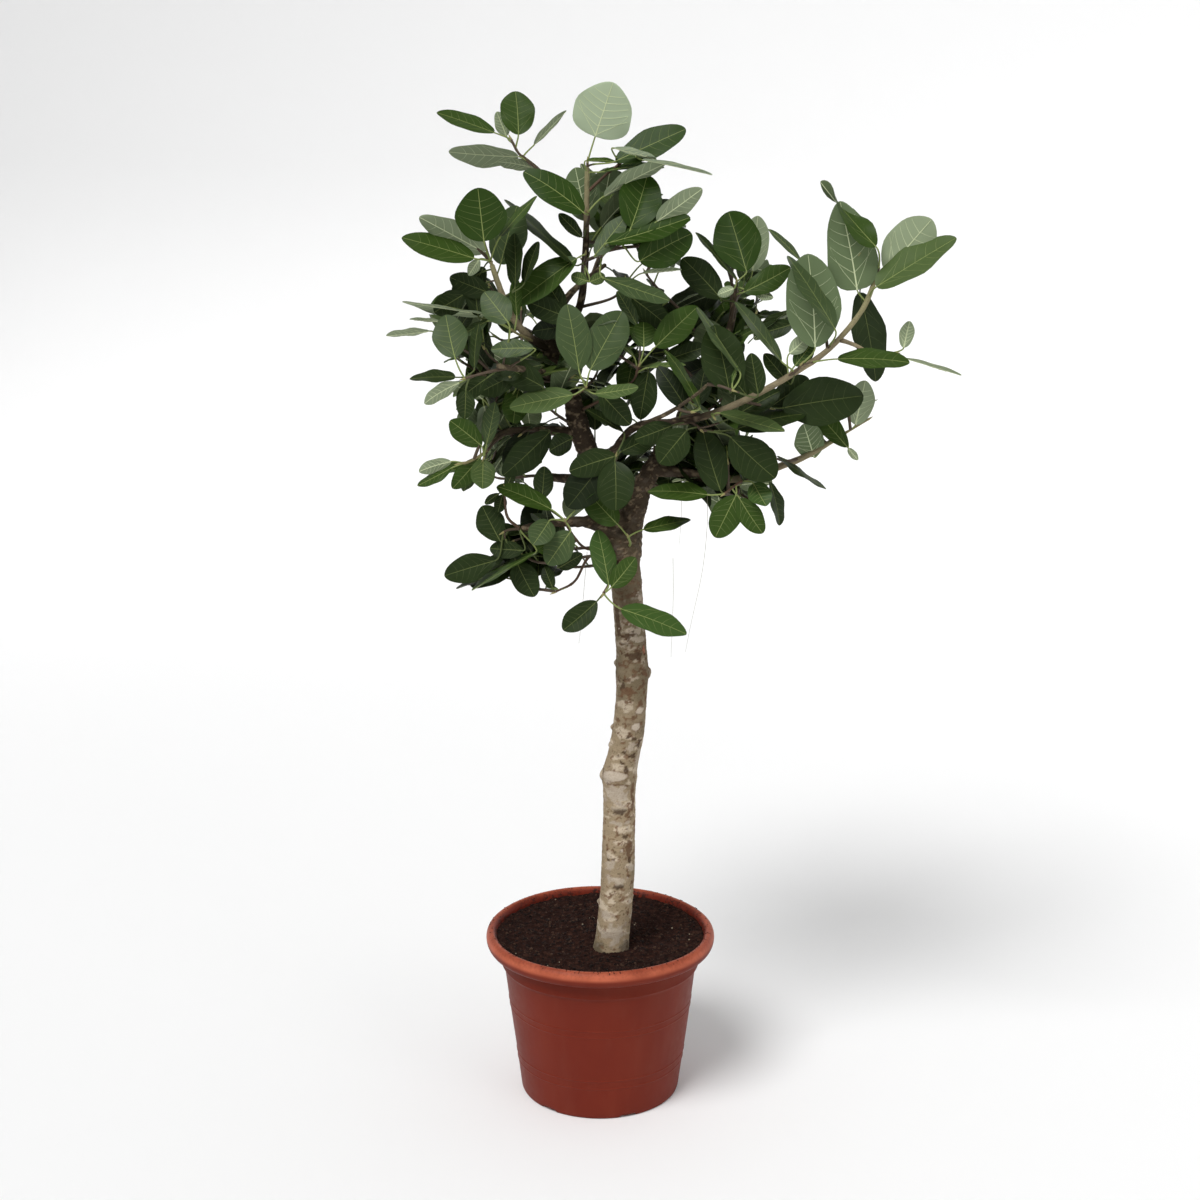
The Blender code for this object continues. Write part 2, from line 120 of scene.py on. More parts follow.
# Limbs: each starts on the axis of the one that it grows from
Limb = namedtuple("Limb", "name path base tip")
TRUNK = Limb("trunk", [
    (0.021, -0.066, 0.3), (0.033, -0.061, 0.44), (0.037, -0.057, 0.58), (0.037, -0.053, 0.66),
    (0.045, -0.051, 0.702), (0.055, -0.048, 0.76), (0.061, -0.042, 0.86), (0.056, -0.037, 0.95),
    (0.048, -0.028, 1.055), (0.047, -0.02, 1.125)
], 0.033, 0.028)
SWELLINGS = [(0.660, 0.0035), (0.862, 0.002), (1.100, 0.003)]  # heights and how far they bulge
SWELLING_LENGTH = 0.018
FLARE = 0.003
FLARE_HEIGHT = 0.03
BOUGHS = [
    Limb("left_main_bough", [
        (0.041, -0.02, 1.101), (0.013, -0.012, 1.185), (-0.032, 0.0, 1.3), (-0.054, 0.008, 1.375),
        (-0.095, 0.016, 1.47), (-0.098, 0.02, 1.505)
    ], 0.0235, 0.014),
    Limb("right_main_bough", [
        (0.052, -0.02, 1.111), (0.067, -0.02, 1.177), (0.098, -0.005, 1.244), (0.157, 0.035, 1.333),
        (0.187, 0.05, 1.388), (0.196, 0.05, 1.425)
    ], 0.0225, 0.011),
    Limb("right_arm", [
        (-0.01, -0.008, 1.246), (0.023, -0.045, 1.279), (0.068, -0.07, 1.33), (0.161, -0.1, 1.344),
        (0.256, -0.12, 1.381), (0.354, -0.14, 1.439), (0.408, -0.14, 1.479), (0.458, -0.14, 1.54),
        (0.484, -0.132, 1.6)
    ], 0.0078, 0.0042),
    Limb("arm_outer_shoot", [
        (0.42, -0.14, 1.491), (0.45, -0.136, 1.48), (0.475, -0.132, 1.466)
    ], 0.004, 0.003),
    Limb("low_left_bough", [
        (0.035, -0.022, 1.122), (-0.017, -0.03, 1.147), (-0.084, -0.035, 1.144), (-0.149, -0.04, 1.136)
    ], 0.0125, 0.007),
    Limb("mid_left_bough", [
        (-0.036, 0.001, 1.309), (-0.103, -0.005, 1.315), (-0.173, -0.01, 1.312), (-0.205, -0.015, 1.29)
    ], 0.0095, 0.0055),
    Limb("left_bough", [
        (-0.067, 0.01, 1.4), (-0.129, -0.02, 1.409), (-0.183, -0.04, 1.405), (-0.225, -0.05, 1.425)
    ], 0.008, 0.004),
    Limb("upper_left_bough", [
        (-0.093, 0.016, 1.463), (-0.133, -0.04, 1.492), (-0.162, -0.07, 1.535), (-0.181, -0.09, 1.587),
        (-0.192, -0.098, 1.622)
    ], 0.0085, 0.0045),
    Limb("leader", [
        (-0.095, 0.016, 1.47), (-0.056, 0.024, 1.51), (-0.035, 0.018, 1.55), (-0.027, 0.01, 1.63),
        (-0.024, 0.0, 1.731), (-0.023, 0.0, 1.792)
    ], 0.0085, 0.0042),
    Limb("top_left_shoot", [
        (-0.024, 0.003, 1.705), (-0.073, 0.02, 1.749), (-0.115, 0.03, 1.788), (-0.146, 0.038, 1.812)
    ], 0.004, 0.003),
    Limb("low_right_bough", [
        (0.096, -0.006, 1.24), (0.147, -0.03, 1.24), (0.211, -0.045, 1.231), (0.266, -0.05, 1.233),
        (0.321, -0.05, 1.25), (0.379, -0.05, 1.273), (0.44, -0.042, 1.308)
    ], 0.0115, 0.0042),
    Limb("upper_right_bough", [
        (0.168, 0.04, 1.352), (0.213, 0.03, 1.423), (0.239, 0.02, 1.497), (0.25, 0.004, 1.575)
    ], 0.0105, 0.005),
    Limb("low_front_shoot", [
        (0.047, -0.028, 1.085), (0.034, -0.064, 1.064), (0.022, -0.092, 1.046)
    ], 0.007, 0.004),
    Limb("back_left_bough", [
        (-0.056, 0.008, 1.38), (-0.082, 0.09, 1.402), (-0.136, 0.165, 1.428), (-0.172, 0.21, 1.45)
    ], 0.012, 0.007),
    Limb("back_top_bough", [
        (-0.095, 0.018, 1.48), (-0.064, 0.085, 1.55), (-0.014, 0.155, 1.594), (0.012, 0.192, 1.612)
    ], 0.0095, 0.0038),
    Limb("back_right_bough", [
        (0.165, 0.04, 1.347), (0.198, 0.11, 1.388), (0.242, 0.18, 1.449), (0.265, 0.215, 1.485)
    ], 0.0115, 0.006),
    Limb("back_low_right_bough", [
        (0.076, -0.016, 1.198), (0.095, 0.06, 1.196), (0.132, 0.13, 1.2), (0.16, 0.18, 1.204)
    ], 0.0125, 0.007),
    Limb("back_low_left_bough", [
        (0.003, -0.009, 1.212), (-0.029, 0.06, 1.212), (-0.078, 0.12, 1.207), (-0.125, 0.17, 1.204)
    ], 0.012, 0.007),
    Limb("front_centre_shoot", [
        (0.075, -0.073, 1.332), (0.124, -0.13, 1.362), (0.168, -0.18, 1.398), (0.186, -0.205, 1.418)
    ], 0.0046, 0.0026),
    Limb("front_left_shoot", [
        (-0.071, 0.01, 1.406), (-0.118, -0.075, 1.43), (-0.159, -0.14, 1.441), (-0.18, -0.175, 1.448)
    ], 0.008, 0.0045),
]
REMESHED = ("left_main_bough", "right_main_bough", "low_left_bough")  # blended into the trunk
RING_SPACING = 0.005
BARK_SIDES = 28
BOUGH_SIDES = 18
BARK_VOXEL = 0.0022
BARK_SMOOTHING = 5
FORK_SWELL = 0.0045  # where a bough leaves the stem
FORK_SWELL_LENGTH = 0.03
LIMB_SWELL = 0.25  # where a side limb starts, in its own radii
LIMB_SWELL_LENGTH = 0.012

# Marks on the stem: height, bearing in degrees (-90 is the front), half width, half height
Mark = namedtuple("Mark", "kind height bearing half_width half_height")
MARKS = [
    Mark("pale", 1.008, -38, 0.006, 0.008), Mark("pale", 0.982, -71, 0.008, 0.009),
    Mark("dark", 0.961, -140, 0.007, 0.03), Mark("pale", 0.965, -48, 0.01, 0.011),
    Mark("pale", 0.948, -66, 0.019, 0.008), Mark("dark", 0.936, -98, 0.014, 0.007),
    Mark("pale", 0.93, -55, 0.016, 0.006), Mark("eye", 0.924, -113, 0.0074, 0.0057),
    Mark("rust", 0.909, -36, 0.0056, 0.0076), Mark("dark", 0.898, -74, 0.019, 0.0075),
    Mark("knob", 0.879, 180, 0.006, 0.008), Mark("knob", 0.86, 0, 0.008, 0.013),
    Mark("brown", 0.863, -41, 0.005, 0.005), Mark("dark", 0.841, -126, 0.005, 0.0075),
    Mark("brown", 0.832, -100, 0.015, 0.007), Mark("brown", 0.827, -38, 0.004, 0.005),
    Mark("brown", 0.81, -110, 0.005, 0.005), Mark("brown", 0.808, -51, 0.0055, 0.006),
    Mark("scar", 0.794, -52, 0.0092, 0.0062), Mark("brown", 0.782, -78, 0.0045, 0.0045),
    Mark("scar", 0.763, -66, 0.0105, 0.0078), Mark("brown", 0.765, -106, 0.003, 0.006),
    Mark("knob", 0.756, 181, 0.0045, 0.007), Mark("dark", 0.742, -88, 0.004, 0.004),
    Mark("dark", 0.74, -66, 0.0045, 0.0035), Mark("dark", 0.729, -40, 0.005, 0.008),
    Mark("pale", 0.726, -70, 0.008, 0.0083), Mark("dark", 0.713, -93, 0.006, 0.003),
    Mark("dark", 0.706, -60, 0.006, 0.007), Mark("pale", 0.699, -28, 0.0055, 0.02),
    Mark("dark", 0.695, -95, 0.004, 0.005), Mark("dark", 0.682, -75, 0.006, 0.008),
    Mark("scar", 0.668, -111, 0.025, 0.0105), Mark("knob", 0.664, -172, 0.0095, 0.012),
    Mark("pale", 0.664, -140, 0.009, 0.011), Mark("brown", 0.652, -108, 0.017, 0.0022),
    Mark("brown", 0.649, -69, 0.005, 0.0042), Mark("pale", 0.632, -112, 0.019, 0.015),
    Mark("pale", 0.629, -79, 0.01, 0.015), Mark("brown", 0.624, -36, 0.0055, 0.027),
    Mark("eye", 0.605, -89, 0.014, 0.0085), Mark("brown", 0.591, -64, 0.005, 0.005),
    Mark("pale", 0.577, -117, 0.005, 0.003), Mark("pale", 0.574, -94, 0.008, 0.0042),
    Mark("pale", 0.577, -58, 0.008, 0.0028), Mark("dot", 0.568, -61, 0.0027, 0.0027),
    Mark("dark", 0.547, -67, 0.0055, 0.0042), Mark("brown", 0.522, -50, 0.009, 0.017),
    Mark("dark", 0.501, -47, 0.0055, 0.0065), Mark("dot", 0.522, -79, 0.003, 0.003),
    Mark("pale", 0.511, -128, 0.005, 0.004), Mark("dark", 0.502, -130, 0.0055, 0.0032),
    Mark("dark", 0.503, -106, 0.0032, 0.0026), Mark("pale", 0.491, -120, 0.0125, 0.009),
    Mark("pale", 0.486, -40, 0.0085, 0.0066), Mark("pale", 0.463, -103, 0.018, 0.0078),
    Mark("eye", 0.455, -83, 0.0088, 0.0075), Mark("brown", 0.435, -112, 0.004, 0.0042),
    Mark("knob", 0.409, 178, 0.0042, 0.006), Mark("dot", 0.419, -37, 0.004, 0.006),
    Mark("pale", 0.392, -124, 0.012, 0.0075), Mark("pale", 0.356, -84, 0.022, 0.018),
]
BACK_MARKS = 54  # more of the same kinds, dealt out by seed over the side that the photograph hides
BACK_BEARINGS = (-8, 168)
BACK_KINDS = {"pale": 0.30, "brown": 0.22, "dark": 0.18, "scar": 0.10, "knob": 0.06, "eye": 0.06, "dot": 0.08}
STEM_MARKED = (0.335, 1.03)
MARK_RELIEF = {
    "pale": 0.0003, "scar": 0.0008, "brown": -0.0003, "dark": -0.0005,
    "knob": 0.0045, "eye": 0.0022, "rust": 0.0012, "dot": 0.0012,
}
MARK_REACH = 1.6  # in mark radii, how far its colours spread
SPOTTY_BEARING = math.radians(-52)  # the side of the stem with the most small spots
# Heights between which the stem's bark changes
FADES = (0.55, 0.90)
DULLS = (0.78, 0.95)
ROUGHENS = (0.98, 1.10)
DARKENS = (1.00, 1.16)
DARKENS_AGAIN = (1.18, 1.34)
DARKER_FOOT_TOP = 0.336

# Leaves
BLADE_ROWS = 16
BLADE_COLUMNS = 8
BLADE_THICKNESS = 0.0005
BASE_FULLNESS = 0.52  # lower is blunter
TIP_FULLNESS = 0.56
VEIN_PAIRS = 6
VEIN_STEPS = 5
LATERAL_WIDTH = 0.0015
MIDRIB_WIDTH = 0.0026
MIDRIB_TIP_WIDTH = 0.0008
VEIN_RISE = 0.00035
PETIOLE_RADIUS = 0.0017
PETIOLE_REACH = 0.026
LONGEST_PETIOLE = 0.055
NATURAL_BREADTH = (0.50, 0.76)  # of a leaf's length
# Ranges of a blade's bends, then the spread of its twist; the leaves of seeded shoots bend more
Habit = namedtuple("Habit", "fold camber curl wave twist")
PLACED_HABIT = Habit((0.04, 0.28), (0.0, 0.20), (-0.10, 0.45), (0.012, 0.045), 0.16)
SEEDED_HABIT = Habit((0.08, 0.35), (0.0, 0.18), (0.05, 0.60), (0.020, 0.075), 0.18)
BLADE_SKEW = (0.90, 1.12)
BLADE_LEAN = (-0.07, 0.07)
MOST_FORESHORTENED = 1.7
STEEPEST_ROLL = math.radians(80)
# Colours of the upper face and underside, then how strongly the midrib and the side veins show
Tint = namedtuple("Tint", "upper under midrib side")
# The dark and deep tints are painted shade on the leaves' green, and the grey tint a painted sheen
TINTS = {
    "green": Tint((0.035, 0.067, 0.0100), (0.115, 0.155, 0.075), 0.70, 0.20),
    "rich": Tint((0.024, 0.052, 0.0055), (0.100, 0.140, 0.060), 0.80, 0.26),
    "olive": Tint((0.044, 0.070, 0.0130), (0.120, 0.155, 0.075), 0.66, 0.18),
    "bright": Tint((0.047, 0.090, 0.0200), (0.190, 0.240, 0.115), 0.80, 0.34),
    "light": Tint((0.072, 0.112, 0.0330), (0.210, 0.260, 0.145), 0.75, 0.34),
    "grey": Tint((0.054, 0.083, 0.0310), (0.190, 0.235, 0.145), 0.70, 0.28),
    "dark": Tint((0.019, 0.033, 0.0075), (0.055, 0.074, 0.036), 0.38, 0.09),
    "deep": Tint((0.010, 0.017, 0.0050), (0.035, 0.047, 0.022), 0.22, 0.06),
    "pale": Tint((0.040, 0.080, 0.0180), (0.290, 0.350, 0.215), 0.80, 0.85),
    "silver": Tint((0.042, 0.078, 0.0200), (0.135, 0.185, 0.090), 0.80, 0.80),
    "lit": Tint((0.045, 0.085, 0.0200), (0.470, 0.565, 0.380), 0.95, 1.50),
}
VEIN_COLOUR = (0.290, 0.340, 0.110)
UNDER_VEIN_COLOUR = (0.740, 0.810, 0.500)
UNDERSIDE_SHOWN = ("pale", "silver", "lit")
# Tints of the seeded leaves, each up to a limit of a painted light level, and light above them all
SEEDED_TINTS = [(0.0, "deep"), (0.24, "dark"), (0.50, "green"), (0.68, "olive"), (0.84, "grey")]
SEEDED_TINTS += [(0.95, "bright")]
STALK_TINTS = {
    "petiole": (0.215, 0.265, 0.080),
    "petiole_dim": (0.085, 0.110, 0.032),
    "young": (0.230, 0.200, 0.090),
    "red": (0.105, 0.062, 0.038),
    "brown": (0.090, 0.064, 0.042),
    "bud": (0.300, 0.270, 0.110),
}
LEAVES_PER_PIECE = 180

# Shoots placed by the photograph. Each leaf's base is given in centimetres from the shoot's tip, to
# the right and up as seen from the front, then its direction in degrees (0 right, 90 up), its seen
# length and breadth in centimetres, its tint and how far back it lies.
# A skew under 1 is widest near the base, over 1 near the tip; twist is in radians by the tip.
Leaf = namedtuple("Leaf", "right up clock length breadth tint back skew twist", defaults=[0.0, 1.0, 0.0])
Shoot = namedtuple("Shoot", "name path leaves tint", defaults=["brown"])
SHOOTS = [
    Shoot("sprig", [(-0.115, 0.03, 1.788), (-0.146, 0.038, 1.812), (-0.161, 0.04, 1.838)], [
        Leaf(-3.1, 1.3, 159, 11.2, 3.1, "green"), Leaf(1.3, 0.9, 90, 8.0, 6.4, "green"),
        Leaf(-0.9, 0.7, 112, 4.8, 2.8, "pale", 5.0), Leaf(4.2, -0.9, 48, 8.6, 1.5, "pale"),
        Leaf(1.3, -3.1, 178, 12.8, 4.4, "pale"), Leaf(3.9, -5.1, 165, 6.5, 2.5, "pale", 2.0)
    ]),
    Shoot("leader_tip", [(-0.024, 0.003, 1.705), (-0.023, 0.0, 1.76), (-0.0225, 0.0, 1.796)], [
        Leaf(1.4, 4.8, 72, 10.5, 11.0, "lit", 0.0, 0.7), Leaf(5.1, 0.3, 25, 14.2, 5.6, "rich", -3.0, 1.15),
        Leaf(3.0, -1.6, 12, 11.0, 2.4, "rich", -1.0), Leaf(-0.3, 0.4, 4, 5.8, 1.3, "green", -1.0)
    ]),
    Shoot("leader_side", [(-0.023, 0.0, 1.745), (0.013, -0.004, 1.777), (0.057, -0.012, 1.81)], [
        Leaf(1.9, -0.9, -11, 13.2, 1.0, "lit", -4.0), Leaf(-3.2, 1.2, -14, 8.0, 1.4, "lit", -5.0)
    ], "red"),
    Shoot("leader_upper", [(-0.024, 0.005, 1.68), (-0.02, -0.02, 1.7), (-0.022, -0.03, 1.708)], [
        Leaf(-0.8, 0.1, 140, 13.2, 5.8, "rich", -2.0), Leaf(0.0, -1.4, 105, 10.0, 7.2, "silver", 5.0),
        Leaf(-1.1, -4.4, 135, 6.0, 2.5, "dark", 2.0), Leaf(3.0, 3.1, 31, 13.0, 3.4, "pale")
    ]),
    Shoot("leader_right", [(-0.026, 0.008, 1.621), (-0.001, -0.03, 1.634), (0.053, -0.06, 1.661)], [
        Leaf(0.2, 2.2, 70, 10.2, 8.3, "rich"), Leaf(5.0, 3.4, 35, 10.2, 4.2, "pale"),
        Leaf(-6.3, -2.7, 50, 9.0, 4.0, "grey"), Leaf(-4.2, -0.6, 15, 16.0, 4.8, "rich", -1.0),
        Leaf(1.8, -3.9, 32, 10.8, 7.4, "rich"), Leaf(-4.8, -7.0, -18, 12.8, 3.5, "grey")
    ]),
    Shoot("leader_low", [(-0.031, 0.015, 1.59), (-0.028, -0.01, 1.615), (-0.026, -0.03, 1.635)], [
        Leaf(-2.0, -1.9, 136, 17.6, 2.6, "dark", 0.0, 0.9), Leaf(-1.6, -0.7, 214, 14.2, 5.4, "green"),
        Leaf(0.4, -4.9, 160, 3.2, 2.4, "light"), Leaf(0.8, -5.0, 20, 3.0, 2.2, "light")
    ]),
    Shoot("upper_left", [(-0.162, -0.07, 1.535), (-0.181, -0.09, 1.587), (-0.193, -0.1, 1.624)], [
        Leaf(-1.2, 3.7, 97, 9.9, 9.6, "rich", -3.0, 0.9), Leaf(-1.1, 1.7, 151, 13.6, 5.4, "pale"),
        Leaf(-3.0, 0.6, 163, 13.8, 4.9, "green", -2.0), Leaf(-2.1, 0.4, 235, 3.5, 2.2, "pale"),
        Leaf(1.8, 4.6, 50, 10.0, 1.9, "green"), Leaf(1.8, -0.5, 76, 11.2, 7.0, "grey", 4.0),
        Leaf(4.5, -4.6, 88, 9.8, 3.4, "dark", 3.0), Leaf(6.2, -3.9, 74, 8.0, 2.6, "dark", 3.0),
        Leaf(-2.6, -2.5, 215, 5.5, 3.2, "dark", 2.0), Leaf(-1.2, -1.0, 240, 6.5, 3.6, "dark", 3.0),
        Leaf(-4.8, -5.9, 212, 6.5, 4.5, "dark", 2.0), Leaf(-0.5, -5.6, 160, 7.5, 4.2, "dark", 2.0),
        Leaf(-2.3, -9.9, 97, 7.8, 4.2, "dark", 2.5)
    ], "young"),
    Shoot("left_front", [(-0.159, -0.14, 1.441), (-0.195, -0.178, 1.437), (-0.234, -0.19, 1.427)], [
        Leaf(-1.9, 3.8, 105, 8.0, 6.6, "grey"), Leaf(-1.8, 0.2, 178, 8.4, 2.5, "dark"),
        Leaf(-1.1, -0.8, 204, 7.4, 3.1, "pale"), Leaf(0.1, -2.2, 268, 5.2, 3.6, "dark"),
        Leaf(1.7, 1.8, 90, 8.2, 2.6, "dark", 1.0), Leaf(7.8, 10.3, 128, 7.0, 5.6, "grey"),
        Leaf(12.5, 5.5, 178, 7.8, 3.5, "grey"), Leaf(4.0, 0.1, 215, 7.0, 3.5, "dark", 2.0)
    ]),
    Shoot("left_high", [(-0.115, -0.01, 1.455), (-0.144, -0.07, 1.494), (-0.158, -0.095, 1.505)], [
        Leaf(-4.4, 2.6, 170, 15.8, 2.0, "pale"), Leaf(1.0, 2.5, 95, 7.0, 2.4, "green", 1.0),
        Leaf(-4.5, 1.5, 208, 5.2, 1.9, "grey")
    ], "young"),
    Shoot("left_inner", [(-0.11, -0.012, 1.407), (-0.15, -0.07, 1.415), (-0.16, -0.11, 1.422)], [
        Leaf(6.1, -1.8, 152, 9.5, 5.2, "dark"), Leaf(5.7, 2.2, 190, 9.0, 3.6, "dark", 1.0),
        Leaf(1.0, 0.5, 205, 7.5, 4.4, "dark", 1.0)
    ]),
    Shoot("leader_foot", [(-0.064, 0.022, 1.498), (-0.07, -0.02, 1.513), (-0.066, -0.05, 1.525)], [
        Leaf(1.7, -0.4, 160, 9.0, 4.6, "dark"), Leaf(0.2, 1.1, 122, 7.0, 3.6, "dark"),
        Leaf(2.2, -1.6, 185, 8.0, 4.0, "deep", 1.5)
    ]),
    Shoot("left_out", [(-0.183, -0.04, 1.405), (-0.222, -0.06, 1.45), (-0.276, -0.08, 1.488)], [
        Leaf(-0.9, 3.1, 174, 5.8, 0.8, "pale"), Leaf(-3.0, 1.4, 187, 8.0, 1.6, "pale"),
        Leaf(2.0, 1.0, 60, 5.5, 2.5, "dark", 2.0)
    ]),
    Shoot("pair", [(-0.054, 0.008, 1.376), (-0.037, -0.07, 1.391), (-0.025, -0.12, 1.405)], [
        Leaf(-1.3, 3.2, 98, 12.2, 6.6, "grey"), Leaf(0.8, 3.2, 62, 12.2, 7.3, "grey"),
        Leaf(-2.4, -1.4, 189, 11.8, 4.4, "light"), Leaf(1.7, -1.2, 6, 8.0, 2.7, "light"),
        Leaf(2.5, -0.9, -48, 8.2, 4.6, "dark", 3.0)
    ], "red"),
    Shoot("centre_twig", [(0.015, -0.01, 1.36), (0.051, -0.05, 1.402), (0.07, -0.08, 1.439)], [
        Leaf(3.1, 3.6, 45, 10.6, 5.6, "green"), Leaf(0.9, 3.5, 90, 4.6, 5.0, "green"),
        Leaf(1.6, -0.3, 6, 7.0, 1.3, "light"), Leaf(-0.4, 7.5, 117, 7.2, 2.6, "grey", 2.0),
        Leaf(-1.0, 1.8, 130, 2.6, 1.0, "light"), Leaf(1.7, -1.0, 260, 8.9, 5.0, "dark", 2.0),
        Leaf(4.8, 1.1, 18, 8.0, 3.6, "dark", 3.0)
    ], "red"),
    Shoot("front_centre", [(0.186, -0.205, 1.418), (0.206, -0.222, 1.417), (0.226, -0.235, 1.411)], [
        Leaf(1.5, 3.2, 122, 14.4, 2.3, "grey"), Leaf(-0.4, -0.4, 100, 12.6, 8.0, "dark", 1.5),
        Leaf(4.8, -0.7, 100, 7.6, 4.0, "dark", 4.0), Leaf(0.1, 1.2, 76, 3.4, 0.8, "bright")
    ]),
    Shoot("front_centre_low", [(0.135, -0.14, 1.37), (0.15, -0.16, 1.366), (0.16, -0.17, 1.366)], [
        Leaf(1.6, 0.8, 115, 12.4, 2.8, "green"), Leaf(1.3, 1.3, 83, 7.0, 4.0, "deep", 2.0),
        Leaf(-1.0, 0.9, 122, 9.0, 4.4, "deep", 2.0)
    ]),
    Shoot("arm_front", [(0.2, -0.112, 1.357), (0.201, -0.125, 1.355), (0.203, -0.135, 1.352)], [
        Leaf(1.0, 0.9, -16, 12.4, 2.7, "light", -1.0)
    ], "petiole"),
    Shoot("arm_under", [(0.161, -0.1, 1.343), (0.173, -0.116, 1.336), (0.18, -0.128, 1.33)], [
        Leaf(-2.6, -0.1, 229, 7.9, 5.8, "dark"), Leaf(5.5, -1.4, -46, 11.0, 7.4, "dark"),
        Leaf(6.8, 0.2, 18, 12.6, 4.4, "dark", 1.0), Leaf(-5.2, 0.8, -158, 7.4, 4.1, "dark", 2.0),
        Leaf(7.0, 3.0, 32, 8.5, 4.2, "dark", 2.0)
    ]),
    Shoot("low_twig", [(0.293, -0.05, 1.242), (0.258, -0.08, 1.23), (0.225, -0.11, 1.212)], [
        Leaf(-0.7, 0.6, 110, 11.8, 6.0, "dark"), Leaf(-3.1, -0.2, 173, 11.0, 3.7, "green"),
        Leaf(2.1, -0.3, 244, 8.6, 5.6, "green"), Leaf(2.8, -0.9, -60, 7.6, 4.5, "green"),
        Leaf(5.3, 1.9, -62, 4.8, 4.3, "bright"), Leaf(8.3, 2.2, -72, 8.2, 2.7, "dark", 0.0, 1.3)
    ], "red"),
    Shoot("low_right_tip", [(0.379, -0.05, 1.273), (0.44, -0.042, 1.308), (0.49, -0.04, 1.338)], [
        Leaf(-2.2, -0.9, 77, 8.3, 5.2, "pale"), Leaf(-3.7, -5.0, 131, 9.0, 4.0, "green", -1.0),
        Leaf(-3.5, -5.2, -54, 2.8, 1.4, "pale"), Leaf(-9.8, -6.8, 106, 6.4, 5.6, "silver", 1.0)
    ], "young"),
    Shoot("low_right_mid", [(0.367, -0.05, 1.268), (0.339, -0.07, 1.266), (0.32, -0.08, 1.272)], [
        Leaf(0.4, 0.3, -34, 10.6, 1.5, "dark"), Leaf(-1.0, 0.6, 140, 3.4, 1.0, "dark")
    ]),
    Shoot("arm_upper", [(0.325, -0.134, 1.421), (0.345, -0.146, 1.436), (0.352, -0.152, 1.446)], [
        Leaf(2.7, 3.3, 91, 17.2, 10.2, "silver"), Leaf(-3.5, 0.8, 126, 13.8, 2.6, "grey"),
        Leaf(-2.0, 2.2, 40, 5.0, 3.0, "pale", 3.0), Leaf(-2.0, -3.3, 130, 7.2, 3.2, "dark", 3.0),
        Leaf(-1.0, 0.0, 50, 5.4, 3.2, "bright", 4.0), Leaf(6.8, 1.2, 1, 13.2, 3.8, "green", -1.0)
    ]),
    Shoot("arm_low", [(0.256, -0.12, 1.381), (0.285, -0.105, 1.372), (0.305, -0.1, 1.366)], [
        Leaf(2.3, 0.0, 11, 15.0, 9.0, "dark"), Leaf(-4.0, 2.0, 130, 7.0, 4.0, "dark", 2.0),
        Leaf(0.2, 0.3, 33, 8.6, 5.0, "dark", 1.5)
    ]),
    Shoot("arm_inner", [(0.398, -0.14, 1.472), (0.392, -0.11, 1.54), (0.364, -0.1, 1.598)], [
        Leaf(-1.2, 3.1, 131, 8.0, 1.7, "grey"), Leaf(-2.5, -8.7, 198, 7.2, 3.5, "dark", 2.0),
        Leaf(5.3, -9.6, 120, 16.0, 4.1, "grey", -7.0)
    ]),
    Shoot("outer_shoot", [(0.45, -0.136, 1.48), (0.475, -0.132, 1.466), (0.52, -0.13, 1.466)], [
        Leaf(1.7, 1.0, 78, 5.0, 2.8, "pale"), Leaf(1.8, -0.9, -16, 11.0, 0.8, "pale")
    ]),
    Shoot("arm_tip", [(0.458, -0.14, 1.54), (0.474, -0.136, 1.57), (0.486, -0.132, 1.604)], [
        Leaf(-0.4, 5.0, 133, 15.6, 4.5, "green", -5.0, 0.85, 2.72),
        Leaf(-3.8, -3.0, 98, 16.6, 9.4, "silver", 0.0, 0.66), Leaf(1.4, 0.4, 48, 12.8, 8.7, "pale"),
        Leaf(-0.3, -2.4, 32, 17.2, 6.0, "light", -3.0, 0.95), Leaf(-3.3, -3.4, -78, 16.6, 6.4, "dark", 4.5)
    ], "young"),
    Shoot("upper_right", [(0.239, 0.02, 1.497), (0.248, -0.01, 1.56), (0.247, -0.03, 1.586)], [
        Leaf(1.8, 2.0, 106, 11.4, 9.0, "rich"), Leaf(2.9, 2.0, 84, 10.2, 5.2, "pale", 9.0),
        Leaf(0.0, 0.3, 129, 11.6, 1.8, "dark"), Leaf(1.4, -1.8, 25, 9.6, 4.6, "green"),
        Leaf(-2.9, -3.0, 130, 10.2, 5.5, "dark", 2.0), Leaf(-0.5, -1.2, -160, 3.2, 2.0, "pale"),
        Leaf(3.2, -2.0, -10, 3.6, 2.0, "pale")
    ]),
    Shoot("centre_high", [(-0.04, 0.02, 1.54), (0.022, 0.0, 1.556), (0.048, -0.02, 1.582)], [
        Leaf(2.9, 2.0, 7, 7.3, 1.0, "pale"), Leaf(1.0, -2.5, -35, 9.0, 4.5, "dark", 2.0)
    ]),
    Shoot("mid_left", [(-0.173, -0.01, 1.312), (-0.2, -0.035, 1.29), (-0.212, -0.055, 1.271)], [
        Leaf(-0.5, 2.1, 139, 7.4, 4.5, "green"), Leaf(0.4, 2.3, 76, 8.0, 3.2, "grey"),
        Leaf(-0.9, -0.2, 230, 7.4, 3.8, "green"), Leaf(-0.2, -0.4, 268, 5.4, 4.5, "light")
    ]),
    Shoot("mid_left_far", [(-0.205, -0.045, 1.28), (-0.238, -0.06, 1.264), (-0.256, -0.062, 1.26)], [
        Leaf(-1.6, 0.4, 193, 6.2, 2.6, "pale"), Leaf(-1.6, -0.8, 209, 7.0, 2.3, "green")
    ], "young"),
    Shoot("mid_hanging", [(-0.112, -0.005, 1.314), (-0.135, -0.025, 1.316), (-0.145, -0.04, 1.311)], [
        Leaf(5.2, 0.4, 226, 11.6, 5.8, "dark"), Leaf(1.4, 0.4, 240, 8.0, 5.0, "deep", 2.0),
        Leaf(9.2, -0.8, 205, 4.6, 4.0, "dark", -1.0)
    ]),
